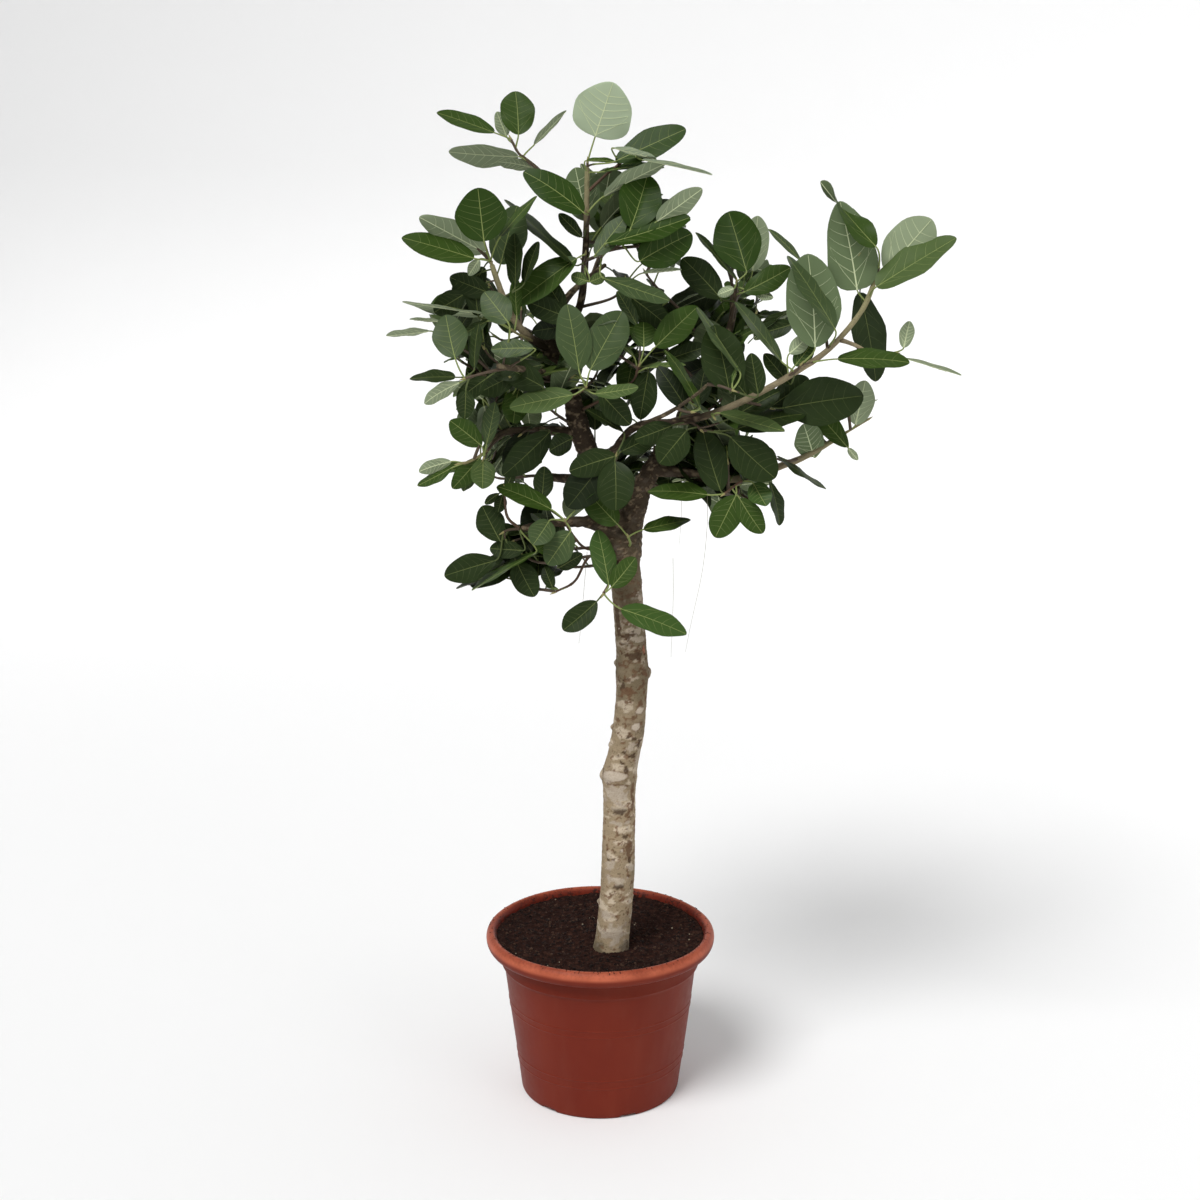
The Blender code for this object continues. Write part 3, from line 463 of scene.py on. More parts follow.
    Shoot("low_left_tip", [(-0.149, -0.04, 1.136), (-0.17, -0.045, 1.134), (-0.178, -0.05, 1.131)], [
        Leaf(-0.7, -1.6, 119, 7.2, 5.4, "dark"), Leaf(-1.5, -5.2, 195, 9.8, 5.3, "dark"),
        Leaf(3.6, -3.4, 176, 6.2, 3.4, "dark"), Leaf(2.4, -5.6, -66, 7.0, 4.9, "dark", 1.0),
        Leaf(5.8, -3.8, 209, 13.6, 1.8, "green")
    ]),
    Shoot("low_left_spur", [(-0.149, -0.04, 1.138), (-0.172, -0.045, 1.16), (-0.176, -0.055, 1.21)], [
        Leaf(0.3, 0.2, 70, 3.6, 1.8, "dark"), Leaf(-1.0, -0.6, 215, 3.2, 1.6, "dark"),
        Leaf(-0.3, -0.8, 255, 3.4, 2.4, "dark", 1.0)
    ], "red"),
    Shoot("low_left_shoot",
        [(0.01, -0.024, 1.1), (-0.022, -0.045, 1.098), (-0.056, -0.075, 1.139), (-0.063, -0.09, 1.158)], [
        Leaf(-2.6, 2.2, 153, 10.8, 3.8, "green"), Leaf(0.9, -1.9, 234, 7.4, 5.6, "grey"),
        Leaf(1.7, 2.0, 52, 11.2, 2.3, "bright"), Leaf(-3.0, 0.1, 239, 5.3, 4.7, "grey"),
        Leaf(-4.3, 4.1, 85, 6.0, 3.8, "dark", 2.0), Leaf(-1.2, -8.5, 30, 5.0, 2.8, "dark", 2.0)
    ], "red"),
    Shoot("thin_twig",
        [(0.02, -0.05, 1.07), (-0.016, -0.045, 1.086), (-0.047, -0.05, 1.038), (-0.083, -0.055, 1.019)], [
        Leaf(-0.5, 0.7, 113, 4.2, 2.5, "dark"), Leaf(0.5, 0.4, 160, 2.4, 0.8, "light")
    ], "red"),
    Shoot("centre_front", [(0.0, -0.006, 1.22), (0.025, -0.07, 1.257), (0.029, -0.09, 1.278)], [
        Leaf(0.0, 0.0, 195, 9.0, 5.2, "dark"), Leaf(-0.2, -1.0, -86, 9.0, 7.0, "dark"),
        Leaf(-2.6, -1.6, 232, 10.0, 7.0, "deep", 1.0), Leaf(1.3, 4.4, 146, 7.9, 1.9, "dark"),
        Leaf(0.9, 0.8, 26, 7.5, 4.1, "dark", 1.0)
    ]),
    Shoot("fork_shoot", [(0.052, -0.03, 1.095), (0.056, -0.06, 1.11), (0.052, -0.075, 1.126)], [
        Leaf(-2.0, 2.4, 135, 8.6, 5.6, "green"), Leaf(2.8, 1.4, 12, 8.8, 2.8, "green")
    ], "petiole"),
    Shoot("bottom_sprig", [(0.034, -0.064, 1.064), (0.018, -0.09, 1.044), (0.007, -0.1, 1.026)], [
        Leaf(0.9, 1.5, 100, 10.3, 4.6, "bright"), Leaf(1.4, 1.1, 48, 7.0, 3.8, "green"),
        Leaf(-1.3, -1.5, 224, 8.1, 4.5, "dark"), Leaf(3.2, -2.9, -18, 12.8, 4.6, "bright")
    ], "red"),
]
TWIG_BASE_RADIUS = 0.0032
TWIG_TIP_RADIUS = 0.0020

# The branching rule for the rest of the crown
SEED = 7
SHOOT_ROOM = 0.00058  # cubic metres of foliage mass for each shoot
SHOOT_SPACING = 0.052
SHOOT_REACH = (0.05, 0.15)
LEAVES_PER_SHOOT = (5, 7)
TURN = math.radians(137.5)
BLADE_LENGTH = (0.085, 0.150)
BLADE_BREADTH = (0.50, 0.64)  # of its length
LEAFY_LENGTH = 0.085  # of a twig, below its tip
PETIOLE_LENGTH = (0.025, 0.045)
MID_SLACK = 0.012  # how far outside a mass the middle and the tip of a leaf may lie
TIP_SLACK = 0.030
BACK_SLACK = 0.035  # and how much farther behind, where the photograph shows no outline
BOX_SLACK = 0.018
PLACED_LEAF_GAP = 0.027  # as seen from the camera
PLACED_TWIG_GAP = 0.032
TRIES = 10  # for each leaf
SHOOT_TRIES = 30
TIP_DEPTH = 0.010  # how deep inside its mass a shoot's tip lies at least
TWIG_STEP = 0.003
NODE_BULGE = 0.0005  # on a twig, where a leaf grows
NODE_LENGTH = 0.003
NEAR_EACH = 0.2  # how far off a mass is still looked for
# Painted shade: deeper than this inside its mass, a seeded leaf's light level drops by so much, to a darker
# tint
DEEP_INSIDE = -0.035
INSIDE_PAINTED_SHADE = 0.45
OPEN_AT_FOOT, CLOSES_BY = 78, 40  # degrees between a shoot and its leaves' stalks
BROAD_LEAF = 0.9  # breadth to length, over which a leaf stays flat
EDGE_ON_LEAF = 0.2
LEAST_FIT, MOST_FIT = 0.75, 1.3
BROADEST_LEAF = 1.1  # breadth to length
FEWEST_LEAVES = 2  # a shoot with fewer is left out

# Patches of sky seen through the crown, as x, z and radius in the plane y = 0
SKY = [
    (-0.065, 1.82, 0.035), (0.38, 1.68, 0.035), (-0.18, 1.77, 0.025), (0.345, 1.285, 0.025),
    (0.515, 1.7, 0.025), (0.135, 1.765, 0.025), (-0.1, 1.71, 0.025), (0.185, 1.7, 0.02),
    (-0.275, 1.61, 0.02), (0.105, 1.165, 0.022), (0.13, 1.585, 0.018), (0.445, 1.425, 0.02),
    (0.005, 1.825, 0.015), (0.045, 1.63, 0.015), (-0.26, 1.766, 0.027), (-0.325, 1.589, 0.034),
    (-0.352, 1.457, 0.029), (-0.278, 1.285, 0.02), (0.158, 1.813, 0.021), (-0.082, 1.203, 0.018),
    (0.009, 1.31, 0.015), (0.13, 1.37, 0.022), (0.165, 1.455, 0.014), (0.34, 1.475, 0.016),
    (0.089, 1.905, 0.033), (0.0, 1.57, 0.022), (-0.07, 1.61, 0.016), (0.185, 1.645, 0.018),
    (0.22, 1.59, 0.015), (-0.285, 1.365, 0.019), (-0.265, 1.287, 0.016), (-0.228, 1.273, 0.014),
    (-0.197, 1.202, 0.014), (0.005, 1.303, 0.016), (-0.156, 1.174, 0.024), (-0.046, 1.553, 0.014),
    (0.353, 1.296, 0.021), (0.159, 1.155, 0.034), (0.122, 1.02, 0.032), (0.32, 1.553, 0.015),
    (0.279, 1.462, 0.015), (0.294, 1.435, 0.015), (-0.188, 1.495, 0.008), (-0.118, 1.232, 0.015),
    (-0.081, 1.268, 0.013), (0.032, 1.632, 0.016), (0.403, 1.644, 0.013), (0.316, 1.639, 0.016),
    (-0.046, 1.642, 0.011), (0.05, 1.857, 0.013), (-0.253, 1.111, 0.017), (-0.213, 1.092, 0.009),
    (0.035, 1.827, 0.009), (-0.028, 1.674, 0.007), (-0.3, 1.206, 0.013), (-0.03, 1.418, 0.007),
    (-0.196, 1.015, 0.011), (-0.314, 1.433, 0.007), (0.526, 1.65, 0.018), (0.506, 1.61, 0.009),
    (0.1, 1.61, 0.005), (0.065, 1.621, 0.007), (0.21, 1.628, 0.013), (0.019, 1.805, 0.007),
    (0.018, 1.619, 0.009), (-0.295, 1.431, 0.009), (0.116, 1.867, 0.014), (0.08, 1.86, 0.009),
    (-0.316, 1.504, 0.006), (-0.302, 1.458, 0.006), (-0.283, 1.433, 0.007), (0.162, 1.722, 0.007),
    (-0.244, 1.187, 0.011), (0.194, 1.164, 0.008), (0.111, 1.785, 0.007),
]

# Hanging roots, as thin as hairs
ROOTS = [
    [
        (0.196, -0.050, 1.236), (0.198, -0.055, 1.150), (0.190, -0.058, 1.060), (0.170, -0.060, 0.960),
        (0.160, -0.060, 0.905),
    ],
    [(0.150, -0.030, 1.235), (0.151, -0.034, 1.160), (0.147, -0.036, 1.100)],
    [(0.136, -0.040, 1.080), (0.137, -0.040, 1.000), (0.134, -0.040, 0.890)],
    [(-0.024, -0.030, 1.090), (-0.030, -0.032, 1.020), (-0.038, -0.034, 0.930), (-0.040, -0.034, 0.915)],
]
ROOT_RADIUS = 0.0005


# ---------------------------------------------------------------- materials


def new_material(name, colour, roughness, specular=0.5):
    made = bpy.data.materials.new(name)
    made.use_nodes = True
    shader = made.node_tree.nodes["Principled BSDF"]
    shader.inputs["Base Color"].default_value = (*colour, 1.0)
    shader.inputs["Roughness"].default_value = roughness
    shader.inputs["Specular IOR Level"].default_value = specular
    made.diffuse_color = (*colour, 1.0)
    return made


class Nodes:
    """Short calls for building one material's node tree."""

    def __init__(self, material):
        self.tree = material.node_tree
        self.shader = self.tree.nodes["Principled BSDF"]

    def link(self, output, target):
        self.tree.links.new(output, target)

    def coordinates(self, scale=(1, 1, 1)):
        place = self.tree.nodes.new("ShaderNodeTexCoord")
        mapping = self.tree.nodes.new("ShaderNodeMapping")
        mapping.inputs["Scale"].default_value = scale
        self.link(place.outputs["Object"], mapping.inputs["Vector"])
        return mapping.outputs["Vector"]

    def noise(self, scale, detail=4.0, roughness=0.6, stretch=(1, 1, 1)):
        node = self.tree.nodes.new("ShaderNodeTexNoise")
        node.inputs["Scale"].default_value = scale
        node.inputs["Detail"].default_value = detail
        node.inputs["Roughness"].default_value = roughness
        self.link(self.coordinates(stretch), node.inputs["Vector"])
        return node.outputs["Fac"]

    def ramp(self, value, stops):
        node = self.tree.nodes.new("ShaderNodeValToRGB")
        band = node.color_ramp
        while len(band.elements) < len(stops):
            band.elements.new(0.5)
        for element, (place, colour) in zip(band.elements, stops):
            element.position = place
            element.color = (*colour, 1.0)
        self.link(value, node.inputs["Fac"])
        return node.outputs["Color"]

    def attribute(self, name, output="Color"):
        node = self.tree.nodes.new("ShaderNodeAttribute")
        node.attribute_name = name
        return node.outputs[output]

    def mix(self, first, second, share, mode="MIX"):
        node = self.tree.nodes.new("ShaderNodeMix")
        node.data_type = "RGBA"
        node.blend_type = mode
        for socket, value in ((node.inputs[6], first), (node.inputs[7], second), (node.inputs[0], share)):
            if isinstance(value, bpy.types.NodeSocket):
                self.link(value, socket)
            elif isinstance(value, (int, float)):
                socket.default_value = value
            else:
                socket.default_value = (*value, 1.0)
        return node.outputs[2]

    def grey(self, value, low, high):
        """The value's 0 to 1 range spread between low and high."""
        node = self.tree.nodes.new("ShaderNodeMapRange")
        node.inputs["To Min"].default_value = low
        node.inputs["To Max"].default_value = high
        self.link(value, node.inputs["Value"])
        return node.outputs["Result"]

    def bump(self, height, strength, distance):
        node = self.tree.nodes.new("ShaderNodeBump")
        node.inputs["Strength"].default_value = strength
        node.inputs["Distance"].default_value = distance
        self.link(height, node.inputs["Height"])
        self.link(node.outputs["Normal"], self.shader.inputs["Normal"])

    def base_colour(self, colour):
        self.link(colour, self.shader.inputs["Base Color"])

    def roughness(self, value):
        self.link(value, self.shader.inputs["Roughness"])


def pot_material():
    made = new_material("terracotta_plastic", (0.16, 0.024, 0.012), 0.40, 0.10)
    nodes = Nodes(made)
    body = nodes.ramp(
        nodes.noise(6.0, 5.0, 0.6, (1, 1, 0.5)),
        [(0.30, (0.138, 0.017, 0.0085)), (0.55, (0.158, 0.021, 0.0100)), (0.78, (0.182, 0.028, 0.0135))],
    )
    # The bead's top turns lighter: worn plastic and a painted highlight
    rim = nodes.mix(body, (0.480, 0.120, 0.062), nodes.attribute("wear_and_painted_highlight", "Fac"))
    dusty = nodes.mix(rim, (0.27, 0.12, 0.08), nodes.attribute("dust", "Fac"))
    specks = nodes.ramp(nodes.noise(150.0, 4.0, 0.65), [(0.46, (0.0, 0.0, 0.0)), (0.56, (1.0, 1.0, 1.0))])
    smears = nodes.mix((0.0, 0.0, 0.0), specks, nodes.attribute("soil", "Fac"))
    nodes.base_colour(nodes.mix(dusty, (0.024, 0.011, 0.008), smears))
    nodes.roughness(nodes.grey(nodes.noise(90.0, 3.0, 0.5), 0.36, 0.56))
    nodes.bump(nodes.noise(150.0, 2.0, 0.5), 0.10, 0.0005)
    return made


def peat_material():
    made = new_material("peat", (0.020, 0.010, 0.007), 0.95, 0.04)
    nodes = Nodes(made)
    black, dark = (0.008, 0.0040, 0.0034), (0.022, 0.0098, 0.0076)
    brown, pale = (0.042, 0.0190, 0.0130), (0.085, 0.0430, 0.0290)
    lumps = nodes.noise(85.0, 6.0, 0.72)
    nodes.base_colour(nodes.ramp(lumps, [(0.30, black), (0.50, dark), (0.62, brown), (0.78, pale)]))
    nodes.bump(nodes.noise(420.0, 4.0, 0.65), 0.8, 0.002)
    return made


def bark_material():
    made = new_material("bark", (0.22, 0.17, 0.11), 0.88, 0.2)
    nodes = Nodes(made)
    dark, dull = (0.50, 0.44, 0.38), (0.96, 0.95, 0.93)
    plain, pale = (1.0, 1.0, 1.0), (1.25, 1.22, 1.18)
    grain = nodes.noise(330.0, 4.0, 0.75, (1, 1, 1.6))
    speckle = nodes.ramp(grain, [(0.30, dark), (0.46, dull), (0.60, plain), (0.76, pale)])
    nodes.base_colour(nodes.mix(nodes.attribute("bark_colour"), speckle, 0.85, "MULTIPLY"))
    nodes.roughness(nodes.grey(nodes.noise(60.0, 3.0), 0.72, 0.96))
    nodes.bump(nodes.noise(380.0, 5.0, 0.72, (1, 1, 2.5)), 0.6, 0.0014)
    return made


# ---------------------------------------------------------------- meshes


class Pile:
    """Faces of many like pieces, gathered to be joined into one object."""

    def __init__(self):
        self.points = []
        self.faces = []
        self.slots = []
        self.rims = []
        self.count = 0

    def add(self, points, faces, slot=0, rim=None):
        """slot is one number or one for each face, and rim marks the points of a crisp edge."""
        points = np.asarray(points, float)
        faces = [[corner + self.count for corner in face] for face in faces]
        self.points.append(points)
        self.faces += faces
        self.slots += list(slot) if isinstance(slot, (list, tuple, np.ndarray)) else [slot] * len(faces)
        self.rims.append(np.zeros(len(points), bool) if rim is None else rim)
        self.count += len(points)

    def build(self, name, materials):
        mesh = bpy.data.meshes.new(name)
        mesh.from_pydata(np.concatenate(self.points).tolist(), [], self.faces, shade_flat=False)
        mesh.polygons.foreach_set("material_index", np.array(self.slots, np.int32))
        rim = np.concatenate(self.rims)
        if rim.any():
            ends = np.empty(len(mesh.edges) * 2, np.int32)
            mesh.edges.foreach_get("vertices", ends)
            crisp = rim[ends.reshape(-1, 2)].all(axis=1)
            mesh.attributes.new("sharp_edge", "BOOLEAN", "EDGE").data.foreach_set("value", crisp)
        for material in materials:
            mesh.materials.append(material)
        mesh.update()
        made = bpy.data.objects.new(name, mesh)
        bpy.context.scene.collection.objects.link(made)
        return made


def finish_piece(piece, replaced=()):
    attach(piece, "root")
    if replaced:
        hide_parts(*replaced)


def lathe_faces(rows, steps, closed):
    """Quads between rows of a turned shape; closed joins the last row to the first."""
    faces = []
    for i in range(rows if closed else rows - 1):
        low, high = i * steps, ((i + 1) % rows) * steps
        for j in range(steps):
            k = (j + 1) % steps
            faces.append((low + j, low + k, high + k, high + j))
    return faces


def around(radius, angle, height):
    """The point at an angle round the upright axis."""
    return radius * math.cos(angle), radius * math.sin(angle), height


def smooth_path(points, per_span):
    """A Catmull-Rom curve through the points."""
    points = np.asarray(points, float)
    ends = np.vstack([2 * points[0] - points[1], points, 2 * points[-1] - points[-2]])
    t = np.linspace(0, 1, per_span, endpoint=False)[:, None]
    parts = []
    for a, b, c, d in zip(ends, ends[1:], ends[2:], ends[3:]):
        parts.append(
            0.5 * (2 * b + (c - a) * t + (2 * a - 5 * b + 4 * c - d) * t**2 + (3 * b - a - 3 * c + d) * t**3)
        )
    return np.vstack([*parts, points[-1:]])


def spaced(points, spacing):
    """The same curve with its points evenly apart, and how far along it each one lies."""
    lengths = np.linalg.norm(np.diff(points, axis=0), axis=1)
    along = np.concatenate([[0], np.cumsum(lengths)])
    count = max(2, int(round(along[-1] / spacing)) + 1)
    even = np.linspace(0, along[-1], count)
    return np.stack([np.interp(even, along, points[:, i]) for i in range(3)], axis=1), even


def unit(v):
    v = np.asarray(v, float)
    return v / np.maximum(np.linalg.norm(v, axis=-1, keepdims=True), 1e-12)


def tube_frames(path):
    """Unit tangents of a path and two directions across it that never twist suddenly."""
    tangents = unit(np.gradient(path, axis=0))
    side = np.cross(tangents[0], (0.0, 0.0, 1.0))
    if np.linalg.norm(side) < 0.1:
        side = np.array((1.0, 0.0, 0.0))
    sides = []
    for tangent in tangents:
        side = unit(side - tangent * np.dot(side, tangent))
        sides.append(side)
    sides = np.array(sides)
    return tangents, sides, np.cross(tangents, sides)


def tube(path, radii, sides, relief=None):
    """A closed tube. relief(points) gives how far each point stands out, in metres."""
    _, across, over = tube_frames(path)
    turn = np.linspace(0, 2 * math.pi, sides, endpoint=False)
    outward = np.cos(turn)[None, :, None] * across[:, None] + np.sin(turn)[None, :, None] * over[:, None]
    points = path[:, None] + outward * np.asarray(radii)[:, None, None]
    if relief is not None:
        points = points + outward * relief(points)[..., None]
    rings = len(path)
    flat = np.vstack([points.reshape(-1, 3), path[:1], path[-1:]])
    faces = lathe_faces(rings, sides, False)
    first, last = rings * sides, (rings - 1) * sides
    for j in range(sides):
        k = (j + 1) % sides
        faces += [(k, j, first), (last + j, last + k, first + 1)]
    return flat, faces


# ---------------------------------------------------------------- pot and soil


def wall_radius(z):
    """The pot's outer radius below its collar, with the fine raised rings."""
    radius = BASE_RADIUS + (WALL_TOP_RADIUS - BASE_RADIUS) * z / COLLAR_FOOT
    for height in POT_LINES:
        radius += LINE_HEIGHT * math.exp(-(((z - height) / LINE_WIDTH) ** 2))
    return radius


def pot_profile():
    """The pot's closed outline as (radius, height), from the middle of its underside outwards."""
    profile = [(0.010, FOOT_RECESS), (BASE_RADIUS - FOOT_RING - 0.004, FOOT_RECESS)]
    profile += [(BASE_RADIUS - FOOT_RING, 0.0), (BASE_RADIUS - 0.003, 0.0), (BASE_RADIUS - 0.0008, 0.0012)]
    heights = set(np.round(np.arange(0.004, COLLAR_FOOT - 0.003, 0.006), 4))
    for height in POT_LINES:
        heights |= set(np.round(height + LINE_WIDTH * np.arange(-2.5, 2.6, 0.5), 5))
    profile += [(wall_radius(z), z) for z in sorted(heights)]
    profile += [(WALL_TOP_RADIUS, COLLAR_FOOT - 0.0015), (COLLAR_RADIUS + 0.0006, COLLAR_FOOT)]
    profile += [(COLLAR_RADIUS + 0.0010, COLLAR_FOOT + 0.0015), (COLLAR_RADIUS, COLLAR_FOOT + 0.0035)]
    profile += [(COLLAR_RADIUS, COLLAR_FOOT + 0.018), (COLLAR_RADIUS, COLLAR_TOP - 0.001)]
    profile += [(COLLAR_RADIUS + 0.001, COLLAR_TOP)]
    middle = RIM_RADIUS - BEAD_HALF_WIDTH
    for angle in np.linspace(math.radians(-125), math.radians(180), BEAD_STEPS):
        across, up = BEAD_HALF_WIDTH * math.cos(angle), BEAD_HALF_HEIGHT * math.sin(angle)
        profile.append((middle + across, BEAD_HEIGHT + up))
    inner = (COLLAR_RADIUS - WALL, COLLAR_TOP)
    profile += [inner, (WALL_TOP_RADIUS - WALL, COLLAR_FOOT), (BASE_RADIUS - WALL, FLOOR), (0.010, FLOOR)]
    return profile


def build_pot():
    """The turned pot, its foot cut by the drainage notches, with dust and smears of soil."""
    profile = np.array(pot_profile())
    turn = np.linspace(0, 2 * math.pi, POT_STEPS, endpoint=False)
    points = np.empty((len(profile), POT_STEPS, 3))
    notch = np.zeros(POT_STEPS)
    half = NOTCH_WIDTH / 2 / BASE_RADIUS
    for i in range(NOTCHES):
        away = (turn - NOTCH_FIRST_ANGLE - i * 2 * math.pi / NOTCHES + math.pi) % (2 * math.pi) - math.pi
        notch = np.maximum(notch, np.clip((half - np.abs(away)) / 0.012, 0, 1))
    for i, (radius, height) in enumerate(profile):
        sway = OVAL * np.cos(3 * turn + 0.7) + WAVY * np.sin(7 * turn + height * 20)
        spread = radius + sway * min(1.0, height / 0.1)
        points[i, :, 0] = spread * np.cos(turn)
        points[i, :, 1] = spread * np.sin(turn)
        at_foot = radius > BASE_RADIUS - FOOT_RING - 0.005 and height < NOTCH_HEIGHT
        points[i, :, 2] = np.maximum(height, NOTCH_HEIGHT * notch if at_foot else 0)
    pile = Pile()
    pile.add(points.reshape(-1, 3), lathe_faces(len(profile), POT_STEPS, True))
    pot = pile.build("pot_shell", [pot_material()])
    paint_pot(pot)
    finish_piece(pot, ["pot"])


def fbm(point, scale, octaves=4, seed=0.0):
    return noise.fractal(Vector(point) * scale + Vector((seed, -seed, seed)), 1.0, 2.0, octaves)


def paint_pot(pot):
    """Wear and a painted highlight on the top of the rim's bead, dust on the wall and soil along the rim's
    inner edge, at the mesh's points.
    """
    wear_and_painted_highlight, dust, soil = [], [], []
    for vertex in pot.data.vertices:
        x, y, z = vertex.co
        radius = math.hypot(x, y)
        rough = fbm((x, y, z * 0.6), 14.0, 4, 3.0)
        streak = fbm((x * 3, y * 3, z * 0.25), 22.0, 3, 9.0)
        fleck = 0.5 + fbm((x, y, z), 30.0, 3, 17.0)
        # A lighter band over the bead's top, dimmed at its very crest: wear and a painted highlight
        on_rim = ramp01(radius, RIM_RADIUS - 0.019, RIM_RADIUS - 0.012)
        above = ramp01(z, BEAD_HEIGHT - 0.004, BEAD_HEIGHT + 0.005)
        fade = 1 - 0.4 * ramp01(z, BEAD_HEIGHT + 0.007, BEAD_HEIGHT + 0.0145)
        wear_and_painted_highlight.append(above * fade * on_rim * (0.85 + 0.5 * rough))
        dust.append(max(0.0, min(0.3, 0.05 * rough + 0.04 * streak)))
        crest = ramp01(z, BEAD_HEIGHT - 0.003, BEAD_HEIGHT + 0.012) * on_rim
        inward = ramp01(RIM_RADIUS - BEAD_HALF_WIDTH - radius, 0.0015, 0.0095)
        inward = inward if z > COLLAR_TOP + 0.004 else 0.0
        smeared = max(0.0, min(1.0, 0.20 * crest + inward * fleck * 1.3))
        soil.append(smeared if z > BEAD_HEIGHT else 0.9 * inward)
    for name, values in (("wear_and_painted_highlight", wear_and_painted_highlight), ("dust", dust), ("soil", soil)):
        pot.data.attributes.new(name, "FLOAT", "POINT").data.foreach_set("value", values)


def soil_height(x, y):
    """The peat's surface: nearly level, a little banked round the stem and against the rim."""
    from_stem = math.hypot(x - TRUNK.path[0][0], y - TRUNK.path[0][1])
    bank = BANK_HEIGHT * ramp01(math.hypot(x, y), *BANK)
    level = SOIL_TOP - SOIL_SINK + MOUND_HEIGHT * math.exp(-((from_stem / MOUND_RADIUS) ** 2)) + bank
    rough = fbm((x, y, 0.0), 26.0, 3, 5.0) * SOIL_ROUGH
    return level + rough + abs(fbm((x, y, 0.3), 95.0, 4, 11.0)) * SOIL_ROUGH * 1.1


def build_soil():
    """The peat plug with its crumbly top, which meets the bead's inner face."""
    turn = np.linspace(0, 2 * math.pi, SOIL_STEPS, endpoint=False)
    rows = []
    for radius in np.linspace(0.004, SOIL_RADIUS, SOIL_RINGS):
        for angle in turn:
            x, y, _ = around(radius, angle, 0.0)
            rows.append((x, y, soil_height(x, y)))
    below = [
        (COLLAR_RADIUS - WALL - 0.001, COLLAR_TOP),
        (WALL_TOP_RADIUS - WALL - 0.001, COLLAR_FOOT),
        (BASE_RADIUS - WALL - 0.001, FLOOR + 0.001),
        (0.004, FLOOR + 0.001),
    ]
    for radius, height in below:
        rows += [around(radius, angle, height) for angle in turn]
    faces = lathe_faces(SOIL_RINGS + len(below), SOIL_STEPS, True)
    pile = Pile()
    pile.add(rows, [face[::-1] for face in faces])
    finish_piece(pile.build("peat_top", [peat_material()]), ["soil"])


def icosahedron():
    """(corners, faces) of the shape that each crumb starts from."""
    golden = (1 + 5**0.5) / 2
    pairs = [(s, t * golden) for s in (-1, 1) for t in (-1, 1)]
    corners = [(0, s, t) for s, t in pairs] + [(s, t, 0) for s, t in pairs] + [(t, 0, s) for s, t in pairs]
    corners = np.array(corners)
    faces = []
    for a, b, c in itertools.combinations(range(12), 3):
        sides = [np.linalg.norm(corners[p] - corners[q]) for p, q in ((a, b), (b, c), (a, c))]
        if max(sides) < 2.1:  # neighbours are 2 apart
            out = np.cross(corners[b] - corners[a], corners[c] - corners[a]) @ corners[a]
            faces.append((a, b, c) if out > 0 else (a, c, b))
    return corners, faces


CRUMB_CORNERS, CRUMB_FACES = icosahedron()


def crumb(rng, size):
    """A small irregular crumb round the origin, turned at random."""
    points = unit(CRUMB_CORNERS) * rng.uniform(0.65, 1.2, (12, 1))
    angle = rng.uniform(0, 2 * math.pi)
    c, s = math.cos(angle), math.sin(angle)
    turn = np.array([[c, -s, 0], [s, c, 0], [0, 0, 1]])
    return (points * (rng.uniform(0.7, 1.3), rng.uniform(0.6, 1.0), CRUMB_HEIGHT)) @ turn.T * size


def on_bead(angle, lean, clear=0.0):
    """A point so far off the rim's bead: angle is round the pot, lean up the bead from its outer side."""
    radius = RIM_RADIUS - BEAD_HALF_WIDTH + (BEAD_HALF_WIDTH + clear) * math.cos(lean)
    height = BEAD_HEIGHT + (BEAD_HALF_HEIGHT + clear) * math.sin(lean)
    return np.array(around(radius, angle, height))


def build_crumbs(rng):
    """Loose crumbs and a few pale grains on the peat, and crumbs and streaks of dirt on the rim."""
    pile = Pile()
    for i in range(CRUMBS + PALE_CRUMBS):
        pale = i >= CRUMBS
        radius, angle = (SOIL_RADIUS - 0.003) * math.sqrt(rng.uniform(0, 1)), rng.uniform(0, 2 * math.pi)
        x, y, _ = around(radius, angle, 0.0)
        if pale:
            size = rng.uniform(*PALE_CRUMB_SIZE)
        else:
            size = SMALLEST_CRUMB + CRUMB_SPREAD * rng.uniform(0, 1) ** 3
        points = crumb(rng, size) + np.array((x, y, soil_height(x, y) + size * 0.2))
        pile.add(points, CRUMB_FACES, 3 if pale else int(rng.choice(3, p=(0.5, 0.35, 0.15))))
    for _ in range(RIM_CRUMBS):
        angle, lean = rng.uniform(0, 2 * math.pi), math.radians(80 + 85 * rng.uniform(0, 1) ** 0.7)
        size = rng.uniform(*RIM_CRUMB_SIZE)
        points = crumb(rng, size) + on_bead(angle, lean, size * 0.3)
        pile.add(points, CRUMB_FACES, int(rng.integers(0, 3)))
    for _ in range(RIM_STREAKS):
        angle, lean = rng.uniform(0, 2 * math.pi), rng.uniform(*RIM_STREAK_LEAN)
        for _ in range(int(rng.integers(2, 7))):
            points = crumb(rng, rng.uniform(*STREAK_CRUMB_SIZE)) + on_bead(angle, lean)
            pile.add(points, CRUMB_FACES, int(rng.integers(0, 2)))
            angle += rng.uniform(-0.002, 0.002)
            lean += STREAK_STEP
    materials = [new_material(f"crumb_{i}", tint, 0.95, 0.2) for i, tint in enumerate(CRUMB_TINTS)]
    finish_piece(pile.build("peat_crumbs", materials))


# ---------------------------------------------------------------- wood


def limb_path(limb):
    path, along = spaced(smooth_path(limb.path, 12), RING_SPACING)
    share = along / along[-1]
    radii = limb.base + (limb.tip - limb.base) * share
    return path, radii, along


def trunk_radii(path, radii):
    """The stem's radii with its foot and the swellings at its knots."""
    heights = path[:, 2]
    for height, bulge in SWELLINGS:
        radii = radii + bulge * np.exp(-(((heights - height) / SWELLING_LENGTH) ** 2))
    foot = np.clip(1 - (heights - SOIL_TOP) / FLARE_HEIGHT, 0, 1)
    return radii + FLARE * foot**2


